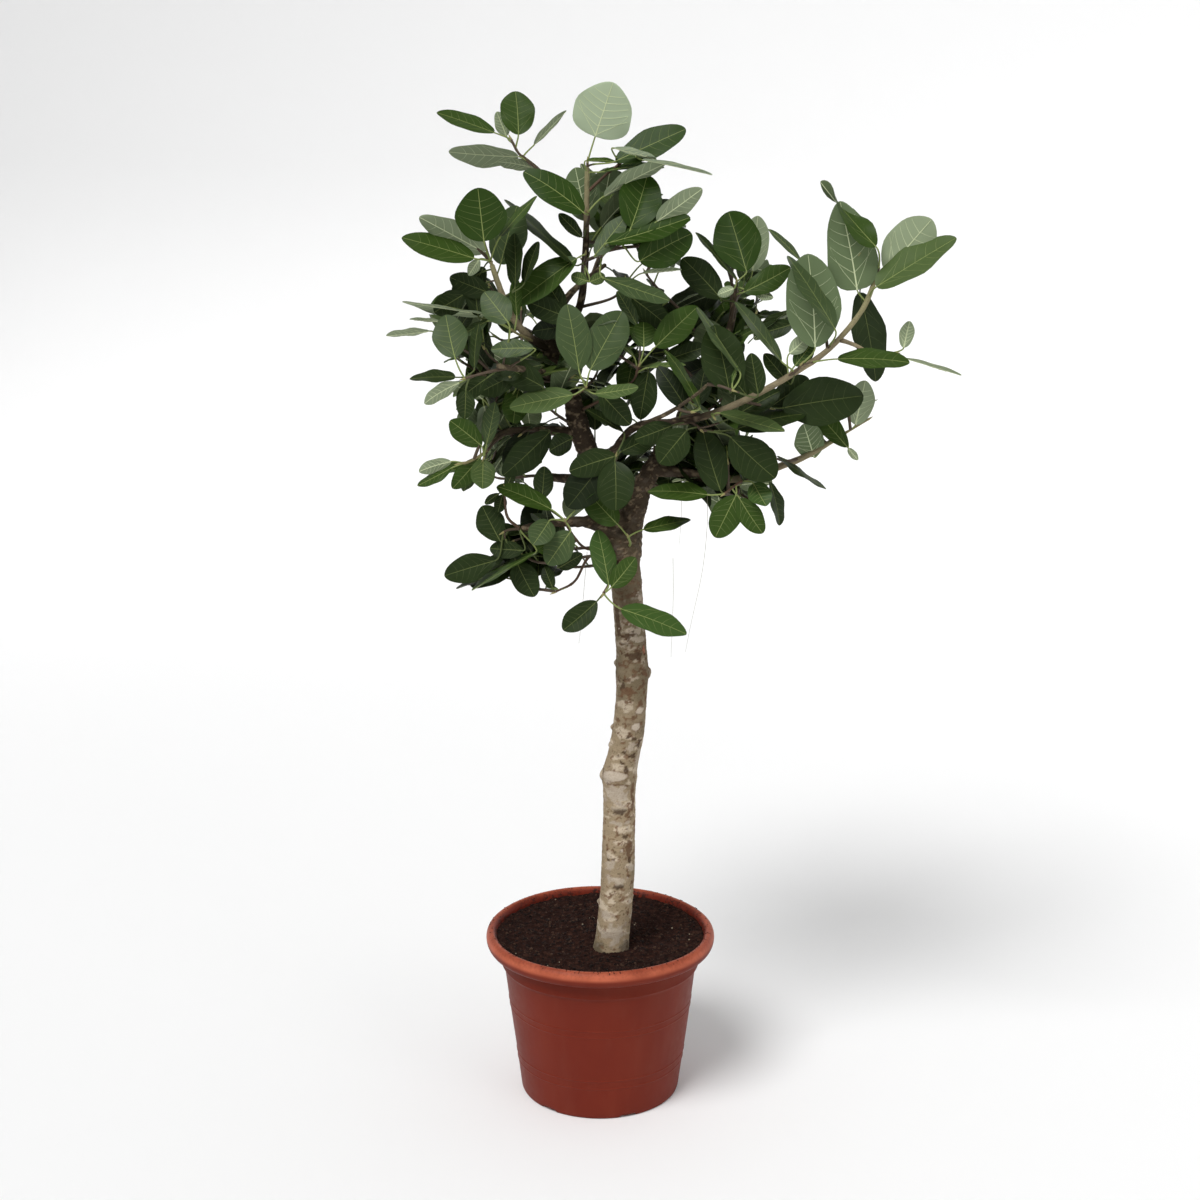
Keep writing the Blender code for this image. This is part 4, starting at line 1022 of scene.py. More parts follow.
def mark_shape(mark, angle, height, radius, sway):
    """How far inside a mark a point of the stem lies (1 at its middle), and its distance in mark radii."""
    off = (angle - math.radians(mark.bearing) + math.pi) % (2 * math.pi) - math.pi
    loose = 0.12 if mark.kind in ("scar", "knob", "dot") else 0.45
    aside = off * radius / mark.half_width + loose * sway[0]
    reach = math.hypot(aside, (height - mark.height) / mark.half_height + loose * sway[1])
    return max(0.0, 1.0 - reach * reach), reach


def stem_axis(height):
    """The stem's centre at a height."""
    heights = [p[2] for p in TRUNK.path]
    return [np.interp(height, heights, [p[i] for p in TRUNK.path]) for i in (0, 1)]


def stem_marks(rng):
    """The marks that the photograph shows, and more for the back of the stem."""
    marks = list(MARKS)
    for _ in range(BACK_MARKS):
        kind = str(rng.choice(list(BACK_KINDS), p=list(BACK_KINDS.values())))
        size = rng.uniform(0.003, 0.013) if kind != "dot" else 0.003
        height, bearing = rng.uniform(*STEM_MARKED), rng.uniform(*BACK_BEARINGS)
        marks.append(Mark(kind, height, bearing, size * 1.2, size * rng.uniform(0.6, 1.1)))
    return marks


WHITE = np.array((0.500, 0.425, 0.340))
PALE = np.array((0.430, 0.362, 0.276))
TAN = np.array((0.245, 0.190, 0.122))
OLIVE = np.array((0.170, 0.132, 0.080))
BROWN = np.array((0.130, 0.070, 0.037))
DARK = np.array((0.058, 0.031, 0.016))
DUSK = np.array((0.031, 0.0195, 0.0125))
RUST = np.array((0.300, 0.125, 0.075))


# What each kind of mark paints on the bark: the colour, how strongly, and over which part of the mark
MARK_PAINT = {
    "pale": [(WHITE * 0.9, 0.75, "soft")],
    "brown": [(BROWN, 0.85, "soft")],
    "dark": [(DARK, 0.85, "soft")],
    "scar": [(WHITE, 0.95, "crisp"), (BROWN, 0.50, "edge")],
    "dot": [(WHITE, 0.9, "crisp"), (DARK, 0.5, "edge")],
    "rust": [(RUST, 1.0, "crisp"), (DARK, 0.7, "edge")],
    "knob": [(PALE, 0.4, "crisp"), (DARK, 0.7, "edge")],
    # The eye's dark lower part is a painted shadow below its raised ring
    "eye": [(PALE, 0.7, "crisp"), (DARK, 0.85, "lower"), (DARK, 0.8, "middle")],
}


def ramp01(value, low, high):
    share = min(1.0, max(0.0, (value - low) / (high - low)))
    return share * share * (3 - 2 * share)


def blend(first, second, share):
    """The colour that lies the given share of the way from the first to the second."""
    first = np.asarray(first)
    return first + (np.asarray(second) - first) * share


def bark_look(point, marks=()):
    """(colour, relief in metres) of the bark at a point of the stem or a bough."""
    x, y, z = point
    broad = fbm((x, y, z * 0.8), 14.0, 4, 2.0)
    patch = fbm((x, y, z * 2.0), 34.0, 4, 7.0)
    blot = fbm((x, y, z * 1.5), 80.0, 3, 23.0)
    fine = fbm((x, y, z * 1.8), 170.0, 3, 13.0)
    ring = noise.noise(Vector((x * 5, y * 5, z * 210.0)))
    high = ramp01(z + 0.05 * broad, *DULLS)
    rough = ramp01(z, *ROUGHENS)
    cx, cy = stem_axis(z)
    angle, radius = math.atan2(y - cy, x - cx), math.hypot(x - cx, y - cy)
    spotty = 0.5 + 0.5 * math.cos(angle - SPOTTY_BEARING) if marks else 0.7
    dusk = 0.22 * high + 0.58 * ramp01(z + 0.06 * patch, *DARKENS) + 0.12 * ramp01(z, *DARKENS_AGAIN)
    colour = blend(TAN, OLIVE, min(1.0, 0.15 + 0.9 * ramp01(broad + 0.2 * patch, -0.25, 0.5) + 0.5 * high))
    colour = blend(colour, PALE, (0.8 - 0.22 * high) * ramp01(patch + 0.2 * blot - 0.2 * broad, 0.16, 0.42))
    colour = blend(colour, BROWN, 0.85 * ramp01(blot + 0.22 * spotty + 0.2 * high, 0.42, 0.66))
    colour = blend(colour, DARK, 0.7 * ramp01(fine + 0.35 * blot + 0.12 * spotty, 0.50, 0.75))
    colour = colour * (1 + 0.10 * ring) * (1.42 - 0.36 * ramp01(z, *FADES))
    colour = blend(colour, DUSK, dusk)
    colour = blend(colour, TAN, 0.75 * rough * ramp01(blot + 0.5 * fine, 0.22, 0.52))
    # The stem turns darker over its last centimetres above the soil
    colour = blend(colour, OLIVE * 0.5, 0.75 * ramp01(DARKER_FOOT_TOP - z + 0.03 * patch, 0.0, 0.016))
    relief = (0.0009 + 0.0022 * rough) * broad + (0.0005 + 0.0022 * rough) * patch
    relief += (0.0003 + 0.0012 * rough) * blot + 0.0004 * fine + 0.0002 * ring
    sway = (fbm((x, y, z), 75.0, 3, 41.0) * 1.6, fbm((x, y, z), 75.0, 3, 47.0) * 1.6)
    for mark in marks:
        if abs(z - mark.height) > MARK_REACH * mark.half_height:
            continue
        inside, reach = mark_shape(mark, angle, z, radius, sway)
        if reach > MARK_REACH:
            continue
        # low and the lower part: a painted shadow below a raised mark
        low = ramp01(mark.height - z, -0.2 * mark.half_height, 0.6 * mark.half_height)
        parts = {
            "soft": ramp01(inside + 0.30 * blot + 0.22 * fine, 0.02, 0.22),
            "crisp": ramp01(inside + 0.10 * fine, 0.02, 0.16),
            "edge": math.exp(-(((reach - 1.02) / 0.14) ** 2)),
            "lower": low * ramp01(1.45 - reach + 0.5 * fine, 0.0, 0.5),
            "middle": math.exp(-((reach / 0.22) ** 2)),
        }
        for paint, strength, part in MARK_PAINT[mark.kind]:
            colour = blend(colour, paint, strength * parts[part])
        relief += MARK_RELIEF[mark.kind] * inside
        if mark.kind == "scar":
            relief += 0.0006 * parts["edge"]
        elif mark.kind == "eye":
            relief -= 0.0012 * math.exp(-((reach / 0.25) ** 2))
    return colour, relief


def paint_bark(piece, colours):
    layer = piece.data.color_attributes.new("bark_colour", "FLOAT_COLOR", "POINT")
    flat = np.ones((len(colours), 4), np.float32)
    flat[:, :3] = np.clip(colours, 0.004, 0.9)
    layer.data.foreach_set("color", flat.ravel())


def rounded_end(radii, along, reach):
    """Radii that close to a dome over the last stretch of a limb."""
    near = np.clip((along - (along[-1] - reach)) / reach, 0, 1)
    return radii * np.sqrt(np.clip(1 - near**2, 0.01, 1))


def build_bark(material, rng):
    """Stem and main boughs in one skin: blended by a remesh, then given relief and colour."""
    pile = Pile()
    path, radii, _ = limb_path(TRUNK)
    pile.add(*tube(path, trunk_radii(path, radii), BARK_SIDES))
    for limb in BOUGHS:
        if limb.name in REMESHED:
            path, radii, along = limb_path(limb)
            radii = radii + FORK_SWELL * np.exp(-along / FORK_SWELL_LENGTH)
            pile.add(*tube(path, rounded_end(radii, along, limb.tip), BARK_SIDES))
    rough = pile.build("bark_rough", [])
    remesh = rough.modifiers.new("skin", "REMESH")
    remesh.mode = "VOXEL"
    remesh.voxel_size = BARK_VOXEL
    smooth = rough.modifiers.new("soft", "SMOOTH")
    smooth.factor = 0.5
    smooth.iterations = BARK_SMOOTHING
    graph = bpy.context.evaluated_depsgraph_get()
    mesh = bpy.data.meshes.new_from_object(rough.evaluated_get(graph))
    bpy.data.objects.remove(rough)
    marks = stem_marks(rng)
    looks = [bark_look(vertex.co, marks if vertex.co.z < STEM_MARKED[1] else ()) for vertex in mesh.vertices]
    shifted = [vertex.co + vertex.normal * relief for vertex, (_, relief) in zip(mesh.vertices, looks)]
    mesh.vertices.foreach_set("co", np.array(shifted, np.float32).ravel())
    mesh.materials.clear()
    mesh.materials.append(material)
    mesh.shade_smooth()
    mesh.update()
    piece = bpy.data.objects.new("bark_stem", mesh)
    bpy.context.scene.collection.objects.link(piece)
    paint_bark(piece, np.array([colour for colour, _ in looks]))
    finish_piece(piece, ["trunk", *REMESHED])


# How far along these limbs their bark turns tan
TAN_FROM = {
    "right_arm": 0.36, "low_right_bough": 0.25, "upper_left_bough": 0.25, "leader": 0.62,
    "arm_outer_shoot": 0.0,
}
YOUNG_TAN = np.array((0.330, 0.275, 0.170))
YOUNG_GREEN = np.array((0.290, 0.300, 0.130))


def limb_colour(limb, point, radius, share):
    """Bark colour on a side limb: dark brown where it is old, tan and then green towards its tip."""
    colour, _ = bark_look(point)
    young = 0.12 * ramp01(0.0090 - radius, 0.0, 0.0035)
    if limb.name in TAN_FROM:
        young = ramp01(share, TAN_FROM[limb.name], TAN_FROM[limb.name] + 0.14)
    patch = 0.5 + 0.5 * fbm(point, 70.0, 3, 21.0)
    colour = blend(colour, YOUNG_TAN * (0.65 + 0.6 * patch), 0.85 * young)
    return blend(colour, YOUNG_GREEN * (0.8 + 0.4 * patch), 0.5 * ramp01(share, 0.70, 1.0) * young)


def limb_relief(points):
    """Fine lumps and ring scars, less on thinner wood."""
    made = np.empty(points.shape[:2])
    for i, ring in enumerate(points):
        size = np.linalg.norm(ring - ring.mean(axis=0), axis=1).mean()
        scar = 0.10 * max(0.0, noise.noise(Vector(ring[0] * 0.2) + Vector((0, 0, i * 0.35)))) ** 2
        for j, point in enumerate(ring):
            made[i, j] = size * (0.10 * fbm(point, 60.0, 3, 31.0) + scar)
    return made


def build_limbs(material):
    """The thinner boughs and shoots, each a closed tube, joined into one piece."""
    pile = Pile()
    colours = []
    thin = [limb for limb in BOUGHS if limb.name not in REMESHED]
    for limb in thin:
        path, radii, along = limb_path(limb)
        swell = limb.base * LIMB_SWELL * np.exp(-along / LIMB_SWELL_LENGTH)
        radii = rounded_end(radii + swell, along, limb.tip)
        points, faces = tube(path, radii, BOUGH_SIDES, limb_relief)
        pile.add(points, faces)
        shares = np.linspace(0, 1, len(path))
        rings = points[:-2].reshape(len(path), BOUGH_SIDES, 3)
        for ring, radius, share in zip(rings, radii, shares):
            colours += [limb_colour(limb, point, radius, share) for point in ring]
        colours.append(limb_colour(limb, points[-2], radii[0], 0.0))
        colours.append(limb_colour(limb, points[-1], radii[-1], 1.0))
    piece = pile.build("bark_boughs", [material])
    paint_bark(piece, np.array(colours))
    finish_piece(piece, [limb.name for limb in thin])


# ---------------------------------------------------------------- leaves


def blade_faces():
    """(faces, underside flags, rim flags) shared by all blades: an upper and a lower grid with one rim."""
    rows, columns = BLADE_ROWS, BLADE_COLUMNS
    last = 1 + (rows - 1) * (columns + 1)

    def upper(i, j):
        return 1 + (i - 1) * (columns + 1) + j

    def lower(i, j):
        if j in (0, columns):
            return upper(i, j)
        return last + 1 + (i - 1) * (columns - 1) + j - 1

    faces = []
    under = []
    for side, corner in enumerate((upper, lower)):
        made = [(0, corner(1, j), corner(1, j + 1)) for j in range(columns)]
        made += [(corner(rows - 1, j), last, corner(rows - 1, j + 1)) for j in range(columns)]
        for i in range(1, rows - 1):
            for j in range(columns):
                near, far = (corner(i, j), corner(i, j + 1)), (corner(i + 1, j), corner(i + 1, j + 1))
                # Both sides are cut along the same diagonal, so that neither shows through the other
                made += [(near[0], far[0], far[1]), (near[0], far[1], near[1])]
        faces += [face[::-1] for face in made] if side else made
        under += [side] * len(made)
    rim = np.zeros(last + 1 + (rows - 1) * (columns - 1), bool)
    rim[[0, last]] = True
    for i in range(1, rows):
        rim[[upper(i, 0), upper(i, columns)]] = True
    return faces, under, rim


BLADE = blade_faces()
Shape = namedtuple("Shape", "length breadth fold camber curl wave phase skew lean twist")


def dealt_shape(rng, length, breadth, habit, flat=1.0, straight=1.0, skew=1.0, twist=0.0):
    """A blade's own bends; a flat under 1 calms its surface, and a straight under 1 its line."""
    return Shape(
        length,
        breadth,
        rng.uniform(*habit.fold) * flat,
        rng.uniform(*habit.camber) * flat,
        rng.uniform(*habit.curl) * straight,
        rng.uniform(*habit.wave) * flat,
        rng.uniform(0, 1),
        rng.uniform(*BLADE_SKEW) * skew,
        rng.uniform(*BLADE_LEAN) * straight,
        rng.normal(0, habit.twist) * straight + twist,
    )


def blade_grid(shape):
    """The blade's upper surface as a grid of points: x along it, y across, z up."""
    share = (1 - np.cos(np.linspace(0, math.pi, BLADE_ROWS + 1))) / 2
    across = np.linspace(-1, 1, BLADE_COLUMNS + 1)
    fullness = BASE_FULLNESS + (TIP_FULLNESS - BASE_FULLNESS) * share**1.5
    half = np.sin(math.pi * share**shape.skew).clip(0) ** fullness * shape.breadth / 2
    bend = shape.curl * (share - 0.15)
    steps = np.diff(share) * shape.length
    middle = (bend[1:] + bend[:-1]) / 2
    along = np.concatenate([[0], np.cumsum(steps * np.cos(middle))])
    drop = np.concatenate([[0], np.cumsum(steps * np.sin(middle))])
    uneven = 1 + 0.035 * np.sin(2 * math.pi * (1.7 * share[:, None] + shape.phase + 0.4 * across[None, :]))
    y = half[:, None] * across[None, :] * uneven
    up = shape.fold * np.abs(y) - shape.camber * y**2 / (shape.breadth / 2)
    ripple = np.sin(2 * math.pi * (2.1 * share[:, None] + shape.phase + 0.31 * np.sign(across)[None, :]))
    width = (half / (shape.breadth / 2))[:, None]
    up = up + shape.wave * shape.breadth * ripple * across[None, :] ** 2 * width
    turned = shape.twist * (along / shape.length)[:, None]
    y, up = y * np.cos(turned) - up * np.sin(turned), y * np.sin(turned) + up * np.cos(turned)
    y = y + shape.lean * (along / shape.length)[:, None] ** 2 * shape.length
    grid = np.empty((BLADE_ROWS + 1, BLADE_COLUMNS + 1, 3))
    grid[..., 0] = along[:, None] + up * np.sin(bend)[:, None]
    grid[..., 1] = y
    grid[..., 2] = up * np.cos(bend)[:, None] - drop[:, None]
    return grid


def grid_normals(grid):
    rows = np.gradient(grid, axis=0)
    columns = np.gradient(grid, axis=1)
    columns[0], columns[-1] = columns[1], columns[-2]
    return unit(np.cross(rows, columns))


def on_grid(grid, row, column):
    """Points of a grid at fractional rows and columns."""
    i = np.clip(row.astype(int), 0, grid.shape[0] - 2)
    j = np.clip(column.astype(int), 0, grid.shape[1] - 2)
    u = (row - i)[..., None]
    v = (column - j)[..., None]
    near = grid[i, j] * (1 - v) + grid[i, j + 1] * v
    far = grid[i + 1, j] * (1 - v) + grid[i + 1, j + 1] * v
    return near * (1 - u) + far * u


def ridge(points, normals, widths, rise):
    """A low raised strip along a line that lies on a blade."""
    along = unit(np.gradient(points, axis=0))
    side = np.cross(normals, along) * (np.asarray(widths) / 2)[:, None]
    sunk = normals * 0.0001
    rows = np.stack([points - side - sunk, points + normals * rise, points + side - sunk], axis=1)
    faces = []
    for i in range(len(points) - 1):
        a = 3 * i
        faces += [(a, a + 3, a + 4, a + 1), (a + 1, a + 4, a + 5, a + 2)]
    return rows.reshape(-1, 3), faces


def vein_lines():
    """Grid rows and columns of the side veins, which bend forwards to near the edge."""
    lines = []
    for k in range(VEIN_PAIRS):
        start = 0.02 + 0.72 * (k / (VEIN_PAIRS - 1)) ** 0.9
        for side in (-1, 1):
            out = np.linspace(0, 0.88, VEIN_STEPS)
            forward = (0.36 if k == 0 else 0.20) * (out + 0.6 * out**2) * (1.04 - start)
            share = start + (0.012 if side > 0 else 0.0) + forward
            row = np.arccos(1 - 2 * np.clip(share, 0.0, 0.985)) / math.pi * BLADE_ROWS
            lines.append((row, (1 + side * out) * BLADE_COLUMNS / 2))
    return lines


VEINS = vein_lines()


class LeafPiles:
    """Leaves by tint, a new pile started before one grows too large, and stalks by tint."""

    def __init__(self):
        self.leaves = {tint: [] for tint in TINTS}
        self.counts = {tint: 0 for tint in TINTS}
        self.stalks = {tint: Pile() for tint in STALK_TINTS}

    def leaf_pile(self, tint):
        if self.counts[tint] % LEAVES_PER_PIECE == 0:
            self.leaves[tint].append(Pile())
        self.counts[tint] += 1
        return self.leaves[tint][-1]


def leaf_turn(direction, normal):
    """The blade's own axes in the world, as rows: along it, across it and out of its upper face."""
    axis = unit(direction)
    normal = unit(normal - axis * np.dot(normal, axis))
    return np.stack([axis, np.cross(normal, axis), normal])


def add_leaf(piles, base, direction, normal, shape, tint):
    """One blade with its veins on both sides, its base at a point of the world."""
    grid = blade_grid(shape) @ leaf_turn(direction, normal) + base
    normals = grid_normals(grid)
    inner = (grid - normals * BLADE_THICKNESS)[1:-1, 1:-1]
    points = np.vstack([grid[0, :1], grid[1:-1].reshape(-1, 3), grid[-1, :1], inner.reshape(-1, 3)])
    faces, under, rim = BLADE
    pile = piles.leaf_pile(tint)
    pile.add(points, faces, under, rim)
    middle = np.full(BLADE_ROWS - 1, BLADE_COLUMNS / 2)
    rows = np.linspace(0.3, BLADE_ROWS - 1.2, BLADE_ROWS - 1)
    widths = np.linspace(MIDRIB_WIDTH, MIDRIB_TIP_WIDTH, len(rows))
    lines = [(rows, middle, widths, VEIN_RISE * 1.5, 2)]
    narrowing = np.linspace(LATERAL_WIDTH, LATERAL_WIDTH * 0.35, VEIN_STEPS)
    lines += [(row, column, narrowing, VEIN_RISE, 3) for row, column in VEINS]
    for row, column, widths, rise, slot in lines:
        line, out = on_grid(grid, row, column), unit(on_grid(normals, row, column))
        pile.add(*ridge(line, out, widths, rise), slot)
        below = line - out * BLADE_THICKNESS
        pile.add(*ridge(below[::-1], -out[::-1], widths[::-1] * 1.1, rise * 1.6), slot + 2)


def bezier(a, b, c, d, count):
    t = np.linspace(0, 1, count)[:, None]
    return a * (1 - t) ** 3 + 3 * b * t * (1 - t) ** 2 + 3 * c * t**2 * (1 - t) + d * t**3


def add_petiole(piles, start, leaving, base, arriving, tint):
    """The leaf's stalk, from the shoot to a little way under the blade, on a side twig if it is long."""
    span = np.linalg.norm(base - start)
    out, back = unit(leaving) * span * 0.22, unit(arriving) * span * 0.26
    path = bezier(start, start + out, base - back, base, 9)
    if span > LONGEST_PETIOLE:
        woody = path[: 1 + round(8 * (1 - LONGEST_PETIOLE * 0.8 / span))]
        piles.stalks["brown"].add(*tube(woody, np.linspace(1.3, 1.0, len(woody)) * PETIOLE_RADIUS, 6))
        path = path[len(woody) - 1 :]
    path = np.vstack([path, base + unit(arriving) * 0.004])
    shares = np.linspace(0, 1, len(path))
    radii = np.interp(shares, (0, 0.12, 0.9, 1), (1.25, 1.0, 0.82, 0.35)) * PETIOLE_RADIUS
    piles.stalks["petiole_dim" if tint in ("dark", "deep") else "petiole"].add(*tube(path, radii, 6))


def add_twig(piles, path, nodes, tint, base=TWIG_BASE_RADIUS, tip=TWIG_TIP_RADIUS):
    """A shoot with a slight joint where each leaf grows, and its pointed bud."""
    path, along = spaced(path, 0.004)
    radii = base + (tip - base) * along / along[-1]
    for node in nodes:
        radii = radii + NODE_BULGE * np.exp(-(((along - node) / NODE_LENGTH) ** 2))
    piles.stalks[tint].add(*tube(path, radii, 8))
    ahead = unit(path[-1] - path[-2])
    bud = path[-1] + ahead * np.array((-0.002, 0.001, 0.004, 0.008, 0.012))[:, None]
    piles.stalks["bud"].add(*tube(bud, (tip, tip * 1.15, tip * 1.05, tip * 0.6, tip * 0.1), 6))


# ---------------------------------------------------------------- crown

TOWARDS = np.array((0.0, -math.cos(CAMERA_DIP), math.sin(CAMERA_DIP)))
RIGHT = np.array((1.0, 0.0, 0.0))
UP = np.array((0.0, math.sin(CAMERA_DIP), math.cos(CAMERA_DIP)))
PICTURE_DISTANCE = 3.21  # from the camera, where the seen sizes of the leaves above hold


def on_picture(points):
    """Right and up on the picture, in metres at PICTURE_DISTANCE from the camera."""
    away = np.atleast_2d(points) - np.array(CAMERA_PLACE)
    depth = -(away @ TOWARDS)
    return np.stack([away @ RIGHT, away @ UP], axis=1) * (PICTURE_DISTANCE / depth)[:, None]


def seen(points):
    """Where points show in the plane y = 0, from the camera: x and z, and how far off they are."""
    points = np.atleast_2d(points)
    reach = -CAMERA_PLACE.y / (points[:, 1] - CAMERA_PLACE.y)
    z = CAMERA_PLACE.z + (points[:, 2] - CAMERA_PLACE.z) * reach
    return np.stack([points[:, 0] * reach, z, points[:, 1]], axis=1)


class Crown:
    """Wood and leaves grown so far, and the foliage masses that new growth has to fit."""

    def __init__(self):
        self.wood = [limb_path(limb)[0] for limb in [TRUNK, *BOUGHS]]
        self.placed = []
        self.tips = []
        self.masses = {}
        for name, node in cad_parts.items():
            if name.startswith("foliage_"):
                corners = [vertex.co.copy() for vertex in node.data.vertices]
                faces = [tuple(polygon.vertices) for polygon in node.data.polygons]
                self.masses[name] = BVHTree.FromPolygons(corners, faces)

    def nearest_wood(self, point):
        wood = np.vstack(self.wood)
        return wood[np.argmin(np.linalg.norm(wood - point, axis=1))]

    def outside(self, point):
        """How far a point lies outside the nearest mass, negative inside."""
        least = 1.0
        for tree in self.masses.values():
            place, normal, _, distance = tree.find_nearest(Vector(point), NEAR_EACH)
            if place is None:
                continue
            if (Vector(point) - place).dot(normal) < 0:
                return -distance
            least = min(least, distance)
        return least


def leaf_base(tip, leaf):
    """Where a placed leaf starts: beside its shoot's tip on the picture, and so far back."""
    camera = np.array(CAMERA_PLACE)
    depth = -((tip - camera) @ TOWARDS)
    base = tip + (leaf.right * RIGHT + leaf.up * UP) / 100 * depth / PICTURE_DISTANCE
    return base + unit(base - camera) * leaf.back / 100


def leaf_from_view(leaf, base, rng):
    """(direction, normal, shape) of a leaf that looks as the photograph shows it."""
    length, breadth = leaf.length / 100, leaf.breadth / 100
    broad = breadth / length > BROAD_LEAF
    natural = 1.0 if broad else min(NATURAL_BREADTH[1], max(NATURAL_BREADTH[0], breadth / length))
    true_length = min(max(length, breadth / natural), length * MOST_FORESHORTENED)
    true_breadth = natural * true_length
    roll = 0.0 if leaf.twist else min(STEEPEST_ROLL, math.acos(min(1.0, breadth / true_breadth)))
    clock = math.radians(leaf.clock)
    towards = unit(np.array(CAMERA_PLACE) - base)
    in_view = math.cos(clock) * RIGHT + math.sin(clock) * UP
    in_view = unit(in_view - towards * np.dot(in_view, towards))
    under = leaf.tint in UNDERSIDE_SHOWN
    # An upper face shows on a blade that rises away or falls towards the viewer
    sign = 1.0 if (in_view[2] > 0) == under else -1.0
    pitch = sign * (math.acos(min(1.0, length / true_length)) + rng.uniform(0.0, 0.15))
    direction = math.cos(pitch) * in_view + math.sin(pitch) * towards
    facing = math.cos(pitch) * towards - math.sin(pitch) * in_view
    across = np.cross(facing, direction)
    across = across if across[2] > 0 else -across
    normal = math.cos(roll) * (-facing if under else facing) + math.sin(roll) * across
    # A broad blade stays flat, so that its outline stays smooth, and one seen edge on stays straight
    flat = 0.25 if broad else 1.0
    straight = 0.3 if breadth / length < EDGE_ON_LEAF else flat
    shape = dealt_shape(rng, true_length, true_breadth, PLACED_HABIT, flat, straight, leaf.skew, leaf.twist)
    turn = leaf_turn(direction, normal)
    picture_clock = np.array((math.cos(clock), math.sin(clock)))
    sideways = np.array((-picture_clock[1], picture_clock[0]))
    for _ in range(5):
        shown = on_picture((blade_grid(shape) @ turn + base).reshape(-1, 3))
        longer = min(MOST_FIT, max(LEAST_FIT, length / np.ptp(shown @ picture_clock)))
        wider = min(MOST_FIT, max(LEAST_FIT, breadth / np.ptp(shown @ sideways)))
        shape = shape._replace(length=shape.length * longer, breadth=shape.breadth * wider)
        shape = shape._replace(breadth=min(shape.breadth, BROADEST_LEAF * shape.length))
    return direction, normal, shape


def midrib(base, direction, shape):
    """Five points along a leaf."""
    return base + direction * shape.length * np.linspace(0, 1, 5)[:, None]


def stalk_foot(path, base, direction):
    """The point of a shoot from which a stalk reaches a leaf's base with the least turn."""
    reach = base - path
    distance = np.linalg.norm(reach, axis=1)
    turn = 1 - (reach @ direction) / np.maximum(distance, 1e-6)
    room = np.abs(distance - PETIOLE_REACH) / PETIOLE_REACH
    return int(np.argmin(turn + room + (distance < 0.006)))


def grow_placed_shoots(crown, piles, rng):
    """The shoots whose place shows in the photograph."""
    for shoot in SHOOTS:
        start = crown.nearest_wood(np.array(shoot.path[0]))
        path, along = spaced(smooth_path([start, *shoot.path[1:]], 8), TWIG_STEP)
        nodes = []
        for leaf in shoot.leaves:
            base = leaf_base(path[-1], leaf)
            direction, normal, shape = leaf_from_view(leaf, base, rng)
            at = stalk_foot(path, base, direction)
            nodes.append(along[at])
            ahead = path[min(at + 2, len(path) - 1)] - path[max(at - 2, 0)]
            leaving = unit(ahead) * 0.5 + unit(base - path[at])
            add_petiole(piles, path[at], leaving, base, direction, leaf.tint)
            add_leaf(piles, base, direction, normal, shape, leaf.tint)
            crown.placed.append(seen(midrib(base, direction, shape)))
        add_twig(piles, path, nodes, shoot.tint)
        crown.wood.append(path)
        crown.tips.append(path[-1])


def mass_volume(mesh):
    points = np.array([v.co for v in mesh.vertices])
    mesh.calc_loop_triangles()
    corners = np.array([t.vertices for t in mesh.loop_triangles])
    return abs(np.linalg.det(points[corners]).sum()) / 6


def in_sky(shown, room=0.0):
    """Whether points, each with its room round it, show in the photograph's sky."""
    return any((np.hypot(shown[:, 0] - x, shown[:, 1] - z) < radius + room).any() for x, z, radius in SKY)


def gap(shown, other):
    """How near two lines come to each other as seen from the camera."""
    return np.hypot(shown[:, None, 0] - other[None, :, 0], shown[:, None, 1] - other[None, :, 1]).min()


def leaf_fits(crown, base, direction, shape):
    """A leaf stays in the foliage masses, out of the photograph's sky and behind the placed leaves."""
    line = midrib(base, direction, shape)
    loose = BACK_SLACK * ramp01(base[1], 0.02, 0.10)
    if crown.outside(line[2]) > MID_SLACK + loose or crown.outside(line[4]) > TIP_SLACK + loose:
        return False
    low, high = np.array(CAD_BOX)
    if (line < low - BOX_SLACK).any() or (line > high + BOX_SLACK).any():
        return False
    shown = seen(line)
    if in_sky(shown, shape.breadth * np.array((0.0, 0.40, 0.5, 0.40, 0.0)) * 0.7):
        return False
    nearest = shown[:, 2].min()
    in_front = [leaf for leaf in crown.placed if nearest < leaf[:, 2].max() + 0.01]
    return all(gap(shown, leaf) >= PLACED_LEAF_GAP for leaf in in_front)


def twig_fits(crown, path):
    """A seeded twig crosses neither the photograph's sky nor the front of a placed leaf."""
    shown = seen(path[len(path) // 3 :: 3])
    if in_sky(shown):
        return False
    in_front = [leaf for leaf in crown.placed if shown[:, 2].min() < leaf[:, 2].min()]
    return all(gap(shown, leaf) >= PLACED_TWIG_GAP for leaf in in_front)


def shoot_start(crown, tip, rng):
    """The wood point that a new shoot grows from: a little below and inside its tip."""
    wood = np.vstack(crown.wood)
    distance = np.linalg.norm(wood - tip, axis=1)
    reach = rng.uniform(*SHOOT_REACH)
    score = np.abs(distance - reach) + 0.5 * np.maximum(0.0, wood[:, 2] - tip[2])
    return wood[np.argmin(score)]


